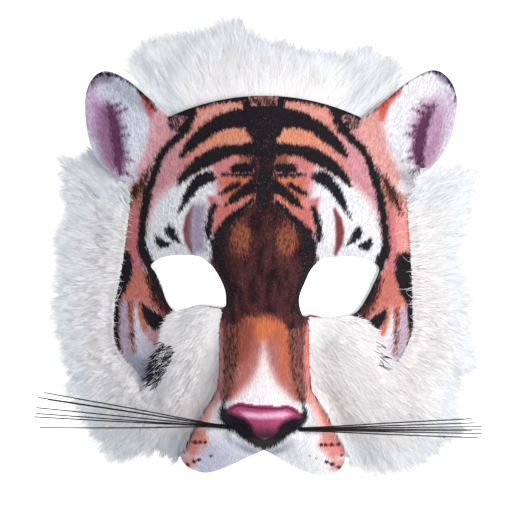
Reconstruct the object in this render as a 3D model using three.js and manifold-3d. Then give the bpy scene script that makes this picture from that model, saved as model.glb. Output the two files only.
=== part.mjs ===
// Tiger half mask: a moulded shell with its ears in one piece, three glued pieces of long-pile fur,
// and a bunch of whisker bristles at each nostril.
// Units are millimetres. The mask lies on its back rims with the face up: +Z comes out of the face,
// +Y runs to the top of the head and +X to the viewer's right. Shapes are drawn in a face frame whose
// zero is midway between the eye holes, and FACE_CENTRE moves them to the part's own origin.
import * as THREE from 'three';
import { mergeVertices } from 'three/addons/utils/BufferGeometryUtils.js';
import Module from 'manifold-3d';

const wasm = await Module();
wasm.setup();

// Driving sizes of the shell
const FACE_CENTRE = new THREE.Vector2(1.25, -17.6);
const WALL = 2.3;
const STEEPEST_WALL_FACTOR = 2.4;
const GLUE_GAP = 1.1;
const DRAPE_STEP = 9;
const RIM_HALF_WIDTH = 82;
const BARREL_POWER = 1.5;
const BARREL_ROUNDING = 0.8;
const TALLEST = 90;
const FLOOR_HALF_SIZE = 200;
const CURVE_POINTS = { ear: 18, margin: 10, forehead: 12, lobe: 11, tuck: 10 };

// Heights of the middle line, bottom to top: [y, z]
const CHEEK_LINE = [[-110, 28], [-60, 36], [-20, 41], [6, 44], [22, 46], [45, 44.5], [70, 40], [97, 33], [145, 22]];
const NOSE_LINE = [[-110, 60], [-84, 63.5], [-73, 66], [-60, 63], [-35, 54], [-12, 47.5], [6, 45], [22, 46],
  [45, 44.5], [70, 40], [97, 33], [145, 22]];

// Half width of the raised bridge and muzzle, bottom to top: [y, half width]
const MUZZLE_WIDTH = [[-110, 30], [-98, 38], [-92, 43], [-87, 42.5], [-82, 40], [-70, 34], [-62, 30], [-56, 25],
  [-49, 23.5], [-35, 23], [-22, 22.8], [-13, 21.3], [12, 25], [40, 34]];
const MUZZLE_WALL = { top: -7, foot: 1 };

// Half width of the nose leather, bottom to top: [y, half width]
const LEATHER_WIDTH = [[-110, 0], [-86, 0.5], [-81, 4.5], [-76, 7], [-71, 13], [-67, 18.5], [-62, 19.5]];
const LEATHER_RISE = 1.3;

// Eye holes, clockwise from the outer corner
const EYE_HOLES = {
  left: [[-58.8, 9.4], [-53, 13], [-46.8, 14.3], [-34.8, 14], [-28.6, 10.4], [-24.4, 5.2], [-20.8, -2.1],
    [-19.8, -8.3], [-21.3, -12.7], [-32.2, -11.4], [-38.5, -12.3], [-45.8, -14.6], [-50.4, -9.9], [-53.6, -1],
    [-56.4, 5.2]],
  right: [[59.8, 8], [51, 13], [41.1, 13.6], [31.2, 12.5], [25, 7.8], [21.3, 0.5], [18.2, -8.3],
    [20.2, -16.8], [25, -16.6], [33.8, -18], [45.8, -16.1], [50, -13], [53, -8.3], [56.2, -2.1]],
};

// Edge of the shell. The forehead edge is an arc, the ears and the lower edge are smooth curves.
const FOREHEAD = { left: [-49, 86.6], top: 97.3, right: [51.5, 85.6] };
const EARS = {
  left: [[-49, 86.6], [-59.8, 96.2], [-72.8, 106.6], [-83.2, 110.2], [-90, 105.6], [-93.1, 95.2], [-92, 79.6],
    [-88.4, 68.1], [-81.6, 59.3], [-75, 54.4]],
  right: [[51.5, 85.6], [65, 96.7], [77.5, 106.1], [88.4, 110.8], [96.2, 106.6], [100.4, 96.7], [98.8, 81.6],
    [94.1, 69.2], [86, 59.6], [77.5, 53.8]],
};
const SIDE_MARGIN = [[80, 49], [84, 42], [85, 0], [85, -42], [80, -60], [69, -75], [55, -86], [45.5, -91]];
const LOBES = {
  left: [[-43.4, -89.6], [-42.6, -92.6], [-38.5, -96.5], [-31.2, -98.3], [-24.4, -97.2], [-14.6, -93.1],
    [-6, -89]],
  right: [[42.3, -89.6], [41.6, -94], [38.5, -97.8], [32.2, -99.8], [21.3, -97.8], [10.9, -92.6], [5, -89]],
};
const MOUTH_NOTCH = [0, -86.3];

// Where the ears bend off the forehead: a line from the notch beside the forehead to the ear's lower end
const EAR_ROOT = { from: [50, 87], to: [72, 53] };
const EAR_HEIGHT = 20;
const EAR_LIFT = -0.2;
const EAR_RIM = { rise: 3.6, width: 10 };

// Fur: the line where the skin is glued on, and how far the pile reaches
const PILE = 11;
const TIP_THICKNESS = 1.6;
const SEAM_FULLNESS = 0.35;
const EDGE_FULLNESS = 2.4;
const TUFT = { pitch: 10, depth: 3.4, tip: 0.65, hollow: 0.35, unevenness: 0.3 };
const FUR_REACH = {
  left: [[-79, 44], [-91, 58], [-106, 63], [-108, 48], [-107, 36], [-112, 20], [-111, 4], [-113, -12],
    [-110, -34], [-104, -56], [-94, -78], [-78, -94], [-62, -93.5], [-48, -94]],
  right: [[82, 44], [97, 58], [110, 61], [115, 48], [111, 28], [107, 12], [112, -2], [113, -20], [114, -44],
    [104, -58], [105, -78], [90, -91], [74, -101], [58, -103.5], [46.5, -98]],
};
const SEAM_CLEARANCE = 2.2;
const SEAM_ALONG_MUZZLE = { bottom: -90, top: -20, count: 9 };
const SEAM_BY_EYE_AND_PRINT = {
  left: [[-33, -14.2], [-44, -16.6], [-48, -19.5], [-50, -28], [-53, -38], [-60, -57.5], [-66, -48.5],
    [-76.5, -37.5], [-80, -28], [-79.5, -12], [-76.5, 4], [-73.5, 24], [-71.5, 43]],
  right: [[34, -20.2], [46, -18.4], [52, -22], [54, -29], [58, -38], [67, -45.5], [78, -28], [78.8, -10],
    [78, 20], [77, 42]],
};
const CREST_REACH = [[-62, 98], [-70.5, 110], [-69, 122], [-60, 128], [-44, 130], [-28, 133], [-14, 139.2],
  [-2, 127], [8, 128], [22, 123], [40, 121], [54, 125], [66, 119], [73, 109], [64, 96]];
const CREST_TUCK = 10;
const CREST_THICKNESS = 7.5;

// Whiskers: stiff round bristles, bunched where they leave the nostril
const BRISTLE = { diameter: 0.56, sides: 4, steps: 6, pitch: 0.9, tuckedIn: 5 };
const WHISKER_HOLE = { diameter: 3.5, length: 14, sides: 10 };
const NOSTRIL_EXIT = { left: [-22.6, -74, 55.5], right: [19.5, -75.6, 56.5] };
const WHISKER_TIPS = {
  left: [[-118, -64.5, 49], [-116, -74.9, 49], [-119, -69.2, 54], [-111.8, -60.3, 54], [-113.9, -56.7, 49],
    [-117, -59.3, 44], [-118, -67.6, 44]],
  right: [[112.6, -75.6, 50], [107.6, -70.2, 50], [108.7, -72.3, 55], [107.6, -76.4, 55], [110.8, -80.1, 50],
    [112.8, -78, 45], [112.8, -74.4, 45]],
};
const WHISKER_SAG = 4;

// Grid pitches for the shell and the fur
const FACE_PITCH = 4;
const OUTER_PITCH = 7.6;
const FUR_PITCH = 9.5;
const CREST_PITCH = 7.6;
const HOLE_PITCH = 3.3;

const MATERIALS = {
  shell: new THREE.MeshStandardMaterial({ color: 0xb5653f, roughness: 0.85, metalness: 0 }),
  fur: new THREE.MeshStandardMaterial({ color: 0xe9e6e5, roughness: 1, metalness: 0 }),
  whisker: new THREE.MeshStandardMaterial({ color: 0x26231c, roughness: 0.4, metalness: 0 }),
};

// Small functions that the height of the face is worked out with
function ramp(from, to, value) {
  const t = Math.min(1, Math.max(0, (value - from) / (to - from)));
  return t * t * (3 - 2 * t);
}

function bump(x, y, centreX, centreY, radiusX, radiusY) {
  return Math.exp(-(((x - centreX) / radiusX) ** 2) - ((y - centreY) / radiusY) ** 2);
}

function smoothMax(a, b, blend) {
  const overlap = Math.max(blend - Math.abs(a - b), 0) / blend;
  return Math.max(a, b) + overlap * overlap * blend / 4;
}

// A smooth line through stations [y, value], with slopes taken from the neighbours
function along(stations, y) {
  const last = stations.length - 1;
  if (y <= stations[0][0]) return stations[0][1];
  if (y >= stations[last][0]) return stations[last][1];
  const i = stations.findIndex((station) => station[0] > y) - 1;
  const slope = (k) => {
    const a = stations[Math.max(0, k - 1)];
    const b = stations[Math.min(last, k + 1)];
    return (b[1] - a[1]) / (b[0] - a[0]);
  };
  const step = stations[i + 1][0] - stations[i][0];
  const t = (y - stations[i][0]) / step;
  const h = t * t * (3 - 2 * t);
  return (1 - h) * stations[i][1] + h * stations[i + 1][1]
    + step * t * (1 - t) * ((1 - t) * slope(i) - t * slope(i + 1));
}

// Height of the forehead, temples and cheeks, without the nose
function headHeight(x, y) {
  const side = Math.min(1, Math.abs(x) / RIM_HALF_WIDTH);
  const barrel = along(CHEEK_LINE, y) * (1 - side ** BARREL_POWER) ** BARREL_ROUNDING;
  const away = Math.abs(x);
  const socket = 7 * bump(away, y, 38, -1, 22, 15);
  const brow = 3.2 * bump(away, y, 34, 23, 24, 9);
  const cheekbone = 2.5 * bump(away, y, 44, -26, 20, 11);
  const furrow = 1.6 * bump(away, y, 0, 34, 6, 20);
  return barrel - socket + brow + cheekbone - furrow;
}

// Height of the bridge, the nose and the two muzzle lobes
function muzzleHeight(x, y) {
  const away = Math.abs(x);
  const wings = ramp(-54, -62, y);
  const chin = ramp(-79, -88, y);
  const nose = along(NOSE_LINE, y) - 2.6 * (away / 14) ** 2 - 15 * wings * ramp(16, 25, away) - 14 * chin;
  const lobe = 42 + 14 * bump(away, y, 21, -82, 17, 15);
  const nostril = 4 * bump(away, y, 15, -75, 5.5, 3.4);
  const wing = 1.8 * bump(away, y, 19, -67, 3.2, 6);
  const leather = LEATHER_RISE * (1 - ramp(-1.2, 1.2, away - along(LEATHER_WIDTH, y))) * ramp(-61.5, -64, y);
  const philtrum = 2.4 * bump(away, 0, 0, 0, 1.8, 1) * ramp(-79, -83, y);
  return smoothMax(nose, lobe * wings, 6) + leather + wing - nostril - philtrum;
}

// How far a point is past the root line of its ear, and how much of the ear's own height it has
function earShare(x, y) {
  const [fromX, fromY] = EAR_ROOT.from;
  const run = new THREE.Vector2(EAR_ROOT.to[0] - fromX, EAR_ROOT.to[1] - fromY).normalize();
  const past = (Math.abs(x) - fromX) * -run.y + (y - fromY) * run.x;
  return { past, share: ramp(-6, 9, past) * ramp(42, 57, y) };
}

function distanceTo(points, x, y, closed = true) {
  let nearest = Infinity;
  points.forEach((a, i) => {
    if (!closed && i === points.length - 1) return;
    const b = points[(i + 1) % points.length];
    const runX = b.x - a.x;
    const runY = b.y - a.y;
    const length2 = runX * runX + runY * runY || 1;
    const t = Math.min(1, Math.max(0, ((x - a.x) * runX + (y - a.y) * runY) / length2));
    nearest = Math.min(nearest, Math.hypot(x - a.x - t * runX, y - a.y - t * runY));
  });
  return nearest;
}

// Smooth closed or open lines through a few points
function curveThrough(points, divisions) {
  return new THREE.SplineCurve(points.map(([x, y]) => new THREE.Vector2(x, y))).getPoints(divisions);
}

function arcThrough(left, top, right, divisions) {
  const halfChord = (right[0] - left[0]) / 2;
  const ends = (left[1] + right[1]) / 2;
  const rise = top - ends;
  const radius = (halfChord ** 2 + rise ** 2) / (2 * rise);
  const centreX = (left[0] + right[0]) / 2;
  return Array.from({ length: divisions - 1 }, (_, i) => {
    const share = (i + 1) / divisions;
    const x = left[0] + share * 2 * halfChord;
    const tilt = (left[1] - ends) * (1 - 2 * share);
    return new THREE.Vector2(x, top - radius + Math.sqrt(radius ** 2 - (x - centreX) ** 2) + tilt);
  });
}

const earOutlines = {
  left: curveThrough(EARS.left, CURVE_POINTS.ear),
  right: curveThrough(EARS.right, CURVE_POINTS.ear),
};

// Head and muzzle together, defined past the shell's edge too: the fur lies on this
function furBed(x, y) {
  const head = headHeight(x, y);
  const wall = 1 - ramp(MUZZLE_WALL.top, MUZZLE_WALL.foot, Math.abs(x) - along(MUZZLE_WIDTH, y));
  return head + wall * Math.max(0, muzzleHeight(x, y) - head);
}

// Front surface of the shell, with the ears
function faceHeight(x, y) {
  const bed = furBed(x, y);
  const { past, share } = earShare(x, y);
  if (share === 0) return bed;
  const edge = distanceTo(x < 0 ? earOutlines.left : earOutlines.right, x, y);
  const ear = EAR_HEIGHT + EAR_LIFT * past + EAR_RIM.rise * (1 - ramp(0, EAR_RIM.width, edge));
  return bed + share * (ear - bed);
}

// Back surface: the wall's true thickness is kept on the slopes too
function backHeight(x, y) {
  const step = 0.5;
  const slopeX = (faceHeight(x + step, y) - faceHeight(x - step, y)) / (2 * step);
  const slopeY = (faceHeight(x, y + step) - faceHeight(x, y - step)) / (2 * step);
  return faceHeight(x, y) - WALL * Math.min(STEEPEST_WALL_FACTOR, Math.hypot(1, slopeX, slopeY));
}

// Solids for joining and cutting
function toSolid(geometry) {
  geometry.deleteAttribute('normal');
  geometry.deleteAttribute('uv');
  const merged = mergeVertices(geometry);
  return new wasm.Manifold(new wasm.Mesh({
    numProp: 3,
    vertProperties: new Float32Array(merged.attributes.position.array),
    triVerts: new Uint32Array(merged.index.array),
  }));
}

function toGeometry(solid) {
  const mesh = solid.getMesh();
  const geometry = new THREE.BufferGeometry();
  geometry.setAttribute('position', new THREE.BufferAttribute(new Float32Array(mesh.vertProperties), 3));
  geometry.setIndex(new THREE.BufferAttribute(new Uint32Array(mesh.triVerts), 1));
  return geometry;
}

function prism(points, bottom = -TALLEST, top = TALLEST) {
  const geometry = new THREE.ExtrudeGeometry(new THREE.Shape(points), {
    depth: top - bottom, bevelEnabled: false, steps: 1,
  });
  geometry.translate(0, 0, bottom);
  return toSolid(geometry);
}

// Grid lines from one place to another, with a pitch that changes at the given marks
function gridLines(marks) {
  const lines = [marks[0].at];
  for (let i = 1; i < marks.length; i += 1) {
    const start = marks[i - 1].at;
    const count = Math.max(1, Math.round((marks[i].at - start) / marks[i].pitch));
    for (let k = 1; k <= count; k += 1) lines.push(start + (marks[i].at - start) * k / count);
  }
  return lines;
}

// A closed slab between two height functions on a grid
function slab(xs, ys, topHeight, bottomHeight) {
  const positions = [];
  const triangles = [];
  const layer = xs.length * ys.length;
  [topHeight, bottomHeight].forEach((height) => {
    ys.forEach((y) => xs.forEach((x) => positions.push(x, y, height(x, y))));
  });
  const at = (i, j, level) => level * layer + j * xs.length + i;
  const quad = (a, b, c, d) => triangles.push(a, b, c, a, c, d);
  for (let j = 0; j + 1 < ys.length; j += 1) {
    for (let i = 0; i + 1 < xs.length; i += 1) {
      quad(at(i, j, 0), at(i + 1, j, 0), at(i + 1, j + 1, 0), at(i, j + 1, 0));
      quad(at(i, j, 1), at(i, j + 1, 1), at(i + 1, j + 1, 1), at(i + 1, j, 1));
    }
  }
  const right = xs.length - 1;
  const far = ys.length - 1;
  for (let i = 0; i < right; i += 1) {
    quad(at(i, 0, 1), at(i + 1, 0, 1), at(i + 1, 0, 0), at(i, 0, 0));
    quad(at(i + 1, far, 1), at(i, far, 1), at(i, far, 0), at(i + 1, far, 0));
  }
  for (let j = 0; j < far; j += 1) {
    quad(at(0, j + 1, 1), at(0, j, 1), at(0, j, 0), at(0, j + 1, 0));
    quad(at(right, j, 1), at(right, j + 1, 1), at(right, j + 1, 0), at(right, j, 0));
  }
  return new wasm.Manifold(new wasm.Mesh({
    numProp: 3,
    vertProperties: new Float32Array(positions),
    triVerts: new Uint32Array(triangles),
  }));
}

const aboveFloor = prism([[-1, -1], [1, -1], [1, 1], [-1, 1]]
  .map(([x, y]) => new THREE.Vector2(x, y).multiplyScalar(FLOOR_HALF_SIZE)), 0, 2 * TALLEST);

// Shell: outline, eye holes and the two holes that the whiskers come out of
function shellOutline() {
  const margin = curveThrough(SIDE_MARGIN, CURVE_POINTS.margin);
  const mirrored = margin.map((point) => new THREE.Vector2(-point.x, point.y));
  const forehead = arcThrough(FOREHEAD.left, FOREHEAD.top, FOREHEAD.right, CURVE_POINTS.forehead);
  const notch = new THREE.Vector2(...MOUTH_NOTCH);
  return [
    ...forehead,
    ...earOutlines.right,
    ...margin,
    ...curveThrough(LOBES.right, CURVE_POINTS.lobe),
    notch,
    ...curveThrough(LOBES.left, CURVE_POINTS.lobe).reverse(),
    ...mirrored.reverse(),
    ...earOutlines.left.slice().reverse(),
  ];
}

function eyeHole(points) {
  const corner = new THREE.Vector2(...points[0]);
  const length = new THREE.SplineCurve(points.map(([x, y]) => new THREE.Vector2(x, y))).getLength();
  const rim = curveThrough([...points, points[0]], Math.round(length / HOLE_PITCH));
  rim.pop();
  rim[0] = corner;
  return prism(rim);
}

function whiskerDirection(side) {
  const tips = WHISKER_TIPS[side].map((tip) => new THREE.Vector3(...tip));
  const middle = tips.reduce((sum, tip) => sum.add(tip), new THREE.Vector3()).divideScalar(tips.length);
  const direction = middle.sub(new THREE.Vector3(...NOSTRIL_EXIT[side]));
  direction.z = 0;
  return direction.normalize();
}

function whiskerHole(side) {
  const radius = WHISKER_HOLE.diameter / 2;
  const geometry = new THREE.CylinderGeometry(radius, radius, WHISKER_HOLE.length, WHISKER_HOLE.sides);
  const turn = new THREE.Quaternion().setFromUnitVectors(new THREE.Vector3(0, 1, 0), whiskerDirection(side));
  geometry.applyQuaternion(turn);
  geometry.translate(...NOSTRIL_EXIT[side]);
  return toSolid(geometry);
}

function makeShell() {
  const xs = gridLines([
    { at: -106 }, { at: -26, pitch: OUTER_PITCH }, { at: 26, pitch: FACE_PITCH }, { at: 106, pitch: OUTER_PITCH },
  ]);
  const ys = gridLines([
    { at: -104 }, { at: 16, pitch: FACE_PITCH }, { at: 116, pitch: OUTER_PITCH },
  ]);
  let shell = slab(xs, ys, faceHeight, backHeight).intersect(prism(shellOutline())).intersect(aboveFloor);
  ['left', 'right'].forEach((side) => {
    shell = shell.subtract(eyeHole(EYE_HOLES[side])).subtract(whiskerHole(side));
  });
  return shell;
}

// Fur: the outer edge runs in tufts, in and out of the reach line
function tufted(points) {
  const line = new THREE.SplineCurve(points.map(([x, y]) => new THREE.Vector2(x, y)));
  const count = 2 * Math.round(line.getLength() / TUFT.pitch);
  return Array.from({ length: count + 1 }, (_, i) => {
    const point = line.getPointAt(i / count);
    if (i === 0 || i === count) return point;
    const tangent = line.getTangentAt(i / count);
    const depth = TUFT.depth * (i % 2 ? TUFT.hollow + TUFT.unevenness * Math.sin(i * 1.9) : -TUFT.tip);
    return point.add(new THREE.Vector2(-tangent.y, tangent.x).multiplyScalar(depth));
  });
}

// A layer of fur from its seam to its tufted edge: fullest in the middle, thin at the tips
function furLayer({ edge, seam, pitch, reach, against }) {
  const outline = [...edge, ...seam];
  const fullness = (x, y) => Math.min(
    ramp(0, reach * EDGE_FULLNESS, distanceTo(edge, x, y, false)),
    SEAM_FULLNESS + (1 - SEAM_FULLNESS) * ramp(0, reach, distanceTo(seam, x, y, false)),
  );
  const thickness = (x, y) => TIP_THICKNESS + (reach - TIP_THICKNESS) * fullness(x, y);
  const box = new THREE.Box2().setFromPoints(outline).expandByScalar(2);
  const xs = gridLines([{ at: box.min.x }, { at: box.max.x, pitch }]);
  const ys = gridLines([{ at: box.min.y }, { at: box.max.y, pitch }]);
  const { top, bottom } = against(thickness);
  return slab(xs, ys, top, bottom).intersect(prism(outline)).intersect(aboveFloor);
}

function makeRuff(side) {
  const sign = side === 'left' ? -1 : 1;
  const { bottom, top, count } = SEAM_ALONG_MUZZLE;
  const alongMuzzle = Array.from({ length: count }, (_, i) => {
    const y = bottom + (top - bottom) * i / (count - 1);
    return new THREE.Vector2(sign * (along(MUZZLE_WIDTH, y) + MUZZLE_WALL.foot + SEAM_CLEARANCE), y);
  });
  const byEyeAndPrint = SEAM_BY_EYE_AND_PRINT[side].map(([x, y]) => new THREE.Vector2(x, y));
  const around = [[0, 0], [1, 0], [-1, 0], [0, 1], [0, -1]];
  const overShell = (x, y) => GLUE_GAP + Math.max(0, ...around.map(([stepX, stepY]) => (
    furBed(x + stepX * SEAM_CLEARANCE, y + stepY * SEAM_CLEARANCE))));
  const drape = [-2, -1, 0, 1, 2].map((step) => step * DRAPE_STEP);
  const bridged = (x, y) => Math.max(overShell(x, y), GLUE_GAP
    + drape.reduce((sum, step) => sum + headHeight(x + step, y), 0) / drape.length);
  return furLayer({
    edge: tufted(FUR_REACH[side]),
    seam: [...alongMuzzle, ...byEyeAndPrint],
    pitch: FUR_PITCH,
    reach: PILE,
    against: (thickness) => ({ top: (x, y) => bridged(x, y) + thickness(x, y), bottom: overShell }),
  });
}

// The crest is glued behind the forehead edge and stands up past it
function makeCrest() {
  const tuck = arcThrough(FOREHEAD.left, FOREHEAD.top, FOREHEAD.right, CURVE_POINTS.tuck)
    .map((point) => new THREE.Vector2(point.x, point.y - CREST_TUCK));
  const behindShell = (x, y) => backHeight(x, y) - GLUE_GAP;
  return furLayer({
    edge: tufted(CREST_REACH),
    seam: tuck.reverse(),
    pitch: CREST_PITCH,
    reach: CREST_THICKNESS,
    against: (thickness) => ({ top: behindShell, bottom: (x, y) => behindShell(x, y) - thickness(x, y) }),
  });
}

// Whiskers: one bristle in the middle of the bunch and six around it
function bristlePlace(index) {
  if (index === 0) return new THREE.Vector2(0, 0);
  const angle = (index - 1) * Math.PI / 3;
  return new THREE.Vector2(Math.cos(angle), Math.sin(angle)).multiplyScalar(BRISTLE.pitch);
}

function makeWhisker(side, index) {
  const direction = whiskerDirection(side);
  const across = new THREE.Vector3(0, 0, 1).cross(direction);
  const place = bristlePlace(index);
  const exit = new THREE.Vector3(...NOSTRIL_EXIT[side])
    .addScaledVector(across, place.x)
    .add(new THREE.Vector3(0, 0, place.y));
  const root = exit.clone().addScaledVector(direction, -BRISTLE.tuckedIn);
  const tip = new THREE.Vector3(...WHISKER_TIPS[side][index]);
  const middle = exit.clone().lerp(tip, 0.5);
  middle.z += WHISKER_SAG / 2;
  const clear = exit.clone().addScaledVector(direction, BRISTLE.tuckedIn);
  const path = new THREE.CatmullRomCurve3([root, clear, middle, tip]);
  const section = new THREE.Shape(Array.from({ length: BRISTLE.sides }, (_, i) => {
    const angle = i * 2 * Math.PI / BRISTLE.sides;
    return new THREE.Vector2(Math.cos(angle), Math.sin(angle)).multiplyScalar(BRISTLE.diameter / 2);
  }));
  return new THREE.ExtrudeGeometry(section, { steps: BRISTLE.steps, extrudePath: path, bevelEnabled: false });
}

// The mask as a scene graph
const mask = new THREE.Group();

function addPiece(name, geometry, material) {
  const piece = new THREE.Mesh(geometry, material);
  piece.name = name;
  mask.add(piece);
}

addPiece('mask_shell', toGeometry(makeShell()), MATERIALS.shell);
addPiece('fur_crest', toGeometry(makeCrest()), MATERIALS.fur);
['left', 'right'].forEach((side) => {
  addPiece(`fur_ruff_${side}`, toGeometry(makeRuff(side)), MATERIALS.fur);
  WHISKER_TIPS[side].forEach((_, index) => {
    addPiece(`whisker_${side}_${index + 1}`, makeWhisker(side, index), MATERIALS.whisker);
  });
});
mask.position.set(FACE_CENTRE.x, FACE_CENTRE.y, 0);

export default mask;
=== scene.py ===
"""Looks of the tiger half mask: printed shell, long fur in three pieces, whiskers, floor, light and camera.

Shapes are worked out in the face frame of the CAD part, in millimetres: zero is midway between the eye
holes, +X is the viewer's right, +Y the top of the head, and +Z comes out of the face.
"""
import math

import bpy
import numpy as np
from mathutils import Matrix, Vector
from mathutils.geometry import delaunay_2d_cdt
from mathutils.kdtree import KDTree

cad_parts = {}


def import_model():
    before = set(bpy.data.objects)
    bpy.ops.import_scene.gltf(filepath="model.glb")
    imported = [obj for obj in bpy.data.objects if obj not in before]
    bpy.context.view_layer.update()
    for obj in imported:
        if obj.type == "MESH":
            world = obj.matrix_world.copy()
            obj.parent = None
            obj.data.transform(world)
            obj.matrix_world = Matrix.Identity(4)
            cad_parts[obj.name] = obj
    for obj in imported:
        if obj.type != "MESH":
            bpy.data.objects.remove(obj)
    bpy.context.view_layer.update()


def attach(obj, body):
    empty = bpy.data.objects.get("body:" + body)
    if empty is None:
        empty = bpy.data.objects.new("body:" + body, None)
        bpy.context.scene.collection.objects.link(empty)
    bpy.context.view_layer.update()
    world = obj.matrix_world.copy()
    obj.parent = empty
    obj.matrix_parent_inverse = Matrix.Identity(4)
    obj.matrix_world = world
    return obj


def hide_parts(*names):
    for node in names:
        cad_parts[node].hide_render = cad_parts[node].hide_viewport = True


RNG = np.random.default_rng(4)
SIDES = (-1, 1)
SIDE_NAMES = {-1: "left", 1: "right"}

# Where the face frame lies in the part, in millimetres
FACE_CENTRE = np.array([1.25, -17.6])

# How the photo's pixels lie on the face frame. The photo shows the right half a little lower.
FACE_ZERO_PX = (264.0, 283.0)
MM_PER_PX = 0.52
MIRROR_LINE_PX = 263.75
RIGHT_HALF_DROP = [(173, 0), (215, 3), (262, 1.5), (310, 6), (350, 3), (400, 2), (470, 3)]

# Shell sizes, the same as in the part's source
WALL = 2.3
STEEPEST_WALL_FACTOR = 2.4
RIM_HALF_WIDTH = 82
BARREL_POWER = 1.5
BARREL_ROUNDING = 0.8
CHEEK_LINE = [(-110, 28), (-60, 36), (-20, 41), (6, 44), (22, 46), (45, 44.5), (70, 40), (97, 33), (145, 22)]
NOSE_LINE = [(-110, 60), (-84, 63.5), (-73, 66), (-60, 63), (-35, 54), (-12, 47.5), (6, 45), (22, 46),
             (45, 44.5), (70, 40), (97, 33), (145, 22)]
MUZZLE_WIDTH = [(-110, 30), (-98, 38), (-92, 43), (-87, 42.5), (-82, 40), (-70, 34), (-62, 30), (-56, 25),
                (-49, 23.5), (-35, 23), (-22, 22.8), (-13, 21.3), (12, 25), (40, 34)]
MUZZLE_WALL_TOP = -7
MUZZLE_WALL_FOOT = 1
LEATHER_WIDTH = [(-110, 0), (-86, 0.5), (-81, 4.5), (-76, 7), (-71, 13), (-67, 18.5), (-62, 19.5)]
LEATHER_RISE = 1.3
EYE_HOLES = {
    -1: [(-58.8, 9.4), (-53, 13), (-46.8, 14.3), (-34.8, 14), (-28.6, 10.4), (-24.4, 5.2), (-20.8, -2.1),
         (-19.8, -8.3), (-21.3, -12.7), (-32.2, -11.4), (-38.5, -12.3), (-45.8, -14.6), (-50.4, -9.9),
         (-53.6, -1), (-56.4, 5.2)],
    1: [(59.8, 8), (51, 13), (41.1, 13.6), (31.2, 12.5), (25, 7.8), (21.3, 0.5), (18.2, -8.3),
        (20.2, -16.8), (25, -16.6), (33.8, -18), (45.8, -16.1), (50, -13), (53, -8.3), (56.2, -2.1)],
}
FOREHEAD_LEFT = (-49, 86.6)
FOREHEAD_TOP = 97.3
FOREHEAD_RIGHT = (51.5, 85.6)
EARS = {
    -1: [(-49, 86.6), (-59.8, 96.2), (-72.8, 106.6), (-83.2, 110.2), (-90, 105.6), (-93.1, 95.2),
         (-92, 79.6), (-88.4, 68.1), (-81.6, 59.3), (-75, 54.4)],
    1: [(51.5, 85.6), (65, 96.7), (77.5, 106.1), (88.4, 110.8), (96.2, 106.6), (100.4, 96.7),
        (98.8, 81.6), (94.1, 69.2), (86, 59.6), (77.5, 53.8)],
}
SIDE_MARGIN = [(80, 49), (84, 42), (85, 0), (85, -42), (80, -60), (69, -75), (55, -86), (45.5, -91)]
LOBES = {
    -1: [(-43.4, -89.6), (-42.6, -92.6), (-38.5, -96.5), (-31.2, -98.3), (-24.4, -97.2), (-14.6, -93.1),
         (-6, -89)],
    1: [(42.3, -89.6), (41.6, -94), (38.5, -97.8), (32.2, -99.8), (21.3, -97.8), (10.9, -92.6), (5, -89)],
}
MOUTH_NOTCH = (0, -86.3)
EAR_ROOT_FROM = (50, 87)
EAR_ROOT_TO = (72, 53)
EAR_HEIGHT = 20
EAR_LIFT = -0.2
EAR_RIM_RISE = 3.6
EAR_RIM_WIDTH = 10
EAR_RISES_OVER = (-6, 9)
EAR_RISES_ABOVE = (42, 57)

# Rounded forms that stand up or lie in: height, centre x and y, radius x and y. Both sides have them.
HEAD_FORMS = {
    "eye socket": (-7, 38, -1, 22, 15),
    "brow": (3.2, 34, 23, 24, 9),
    "cheekbone": (2.5, 44, -26, 20, 11),
    "furrow between the brows": (-1.6, 0, 34, 6, 20),
}
LOBE = (14, 21, -82, 17, 15)
NOSTRIL = (4, 15, -75, 5.5, 3.4)
NOSE_WING = (1.8, 19, -67, 3.2, 6)
LOBE_GROUND = 42
MUZZLE_BLEND = 6
NOSE_CROWN = (2.6, 14)
WINGS_OVER = (-54, -62)
WING_DROP = 15
WING_DROPS_OVER = (16, 25)
CHIN_OVER = (-79, -88)
CHIN_DROP = 14
LEATHER_EDGE = 1.2
LEATHER_TOP = (-61.5, -64)
PHILTRUM = (2.4, 1.8)
PHILTRUM_OVER = (-79, -83)


# Small functions that the shapes are worked out with

def ramp(start, end, value):
    """Goes smoothly from 0 at the start to 1 at the end."""
    t = np.clip((value - start) / (end - start), 0, 1)
    return t * t * (3 - 2 * t)


def bump(x, y, centre_x, centre_y, radius_x, radius_y):
    """1 at the centre, and less all round."""
    return np.exp(-((x - centre_x) / radius_x) ** 2 - ((y - centre_y) / radius_y) ** 2)


def form(shape, x, y):
    height, *where = shape
    return height * bump(x, y, *where)


def smooth_max(a, b, blend):
    """The higher of two heights, rounded where they meet."""
    overlap = np.maximum(blend - np.abs(a - b), 0) / blend
    return np.maximum(a, b) + overlap * overlap * blend / 4


def along(stations, y):
    """A smooth line through stations (y, value), with slopes taken from the neighbours."""
    at, value = np.array(stations, float).T
    slope = np.empty(len(at))
    slope[1:-1] = (value[2:] - value[:-2]) / (at[2:] - at[:-2])
    slope[0] = (value[1] - value[0]) / (at[1] - at[0])
    slope[-1] = (value[-1] - value[-2]) / (at[-1] - at[-2])
    y = np.clip(y, at[0], at[-1])
    i = np.clip(np.searchsorted(at, y, side="right") - 1, 0, len(at) - 2)
    step = at[i + 1] - at[i]
    t = (y - at[i]) / step
    h = t * t * (3 - 2 * t)
    bend = step * t * (1 - t) * ((1 - t) * slope[i] - t * slope[i + 1])
    return (1 - h) * value[i] + h * value[i + 1] + bend


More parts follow.
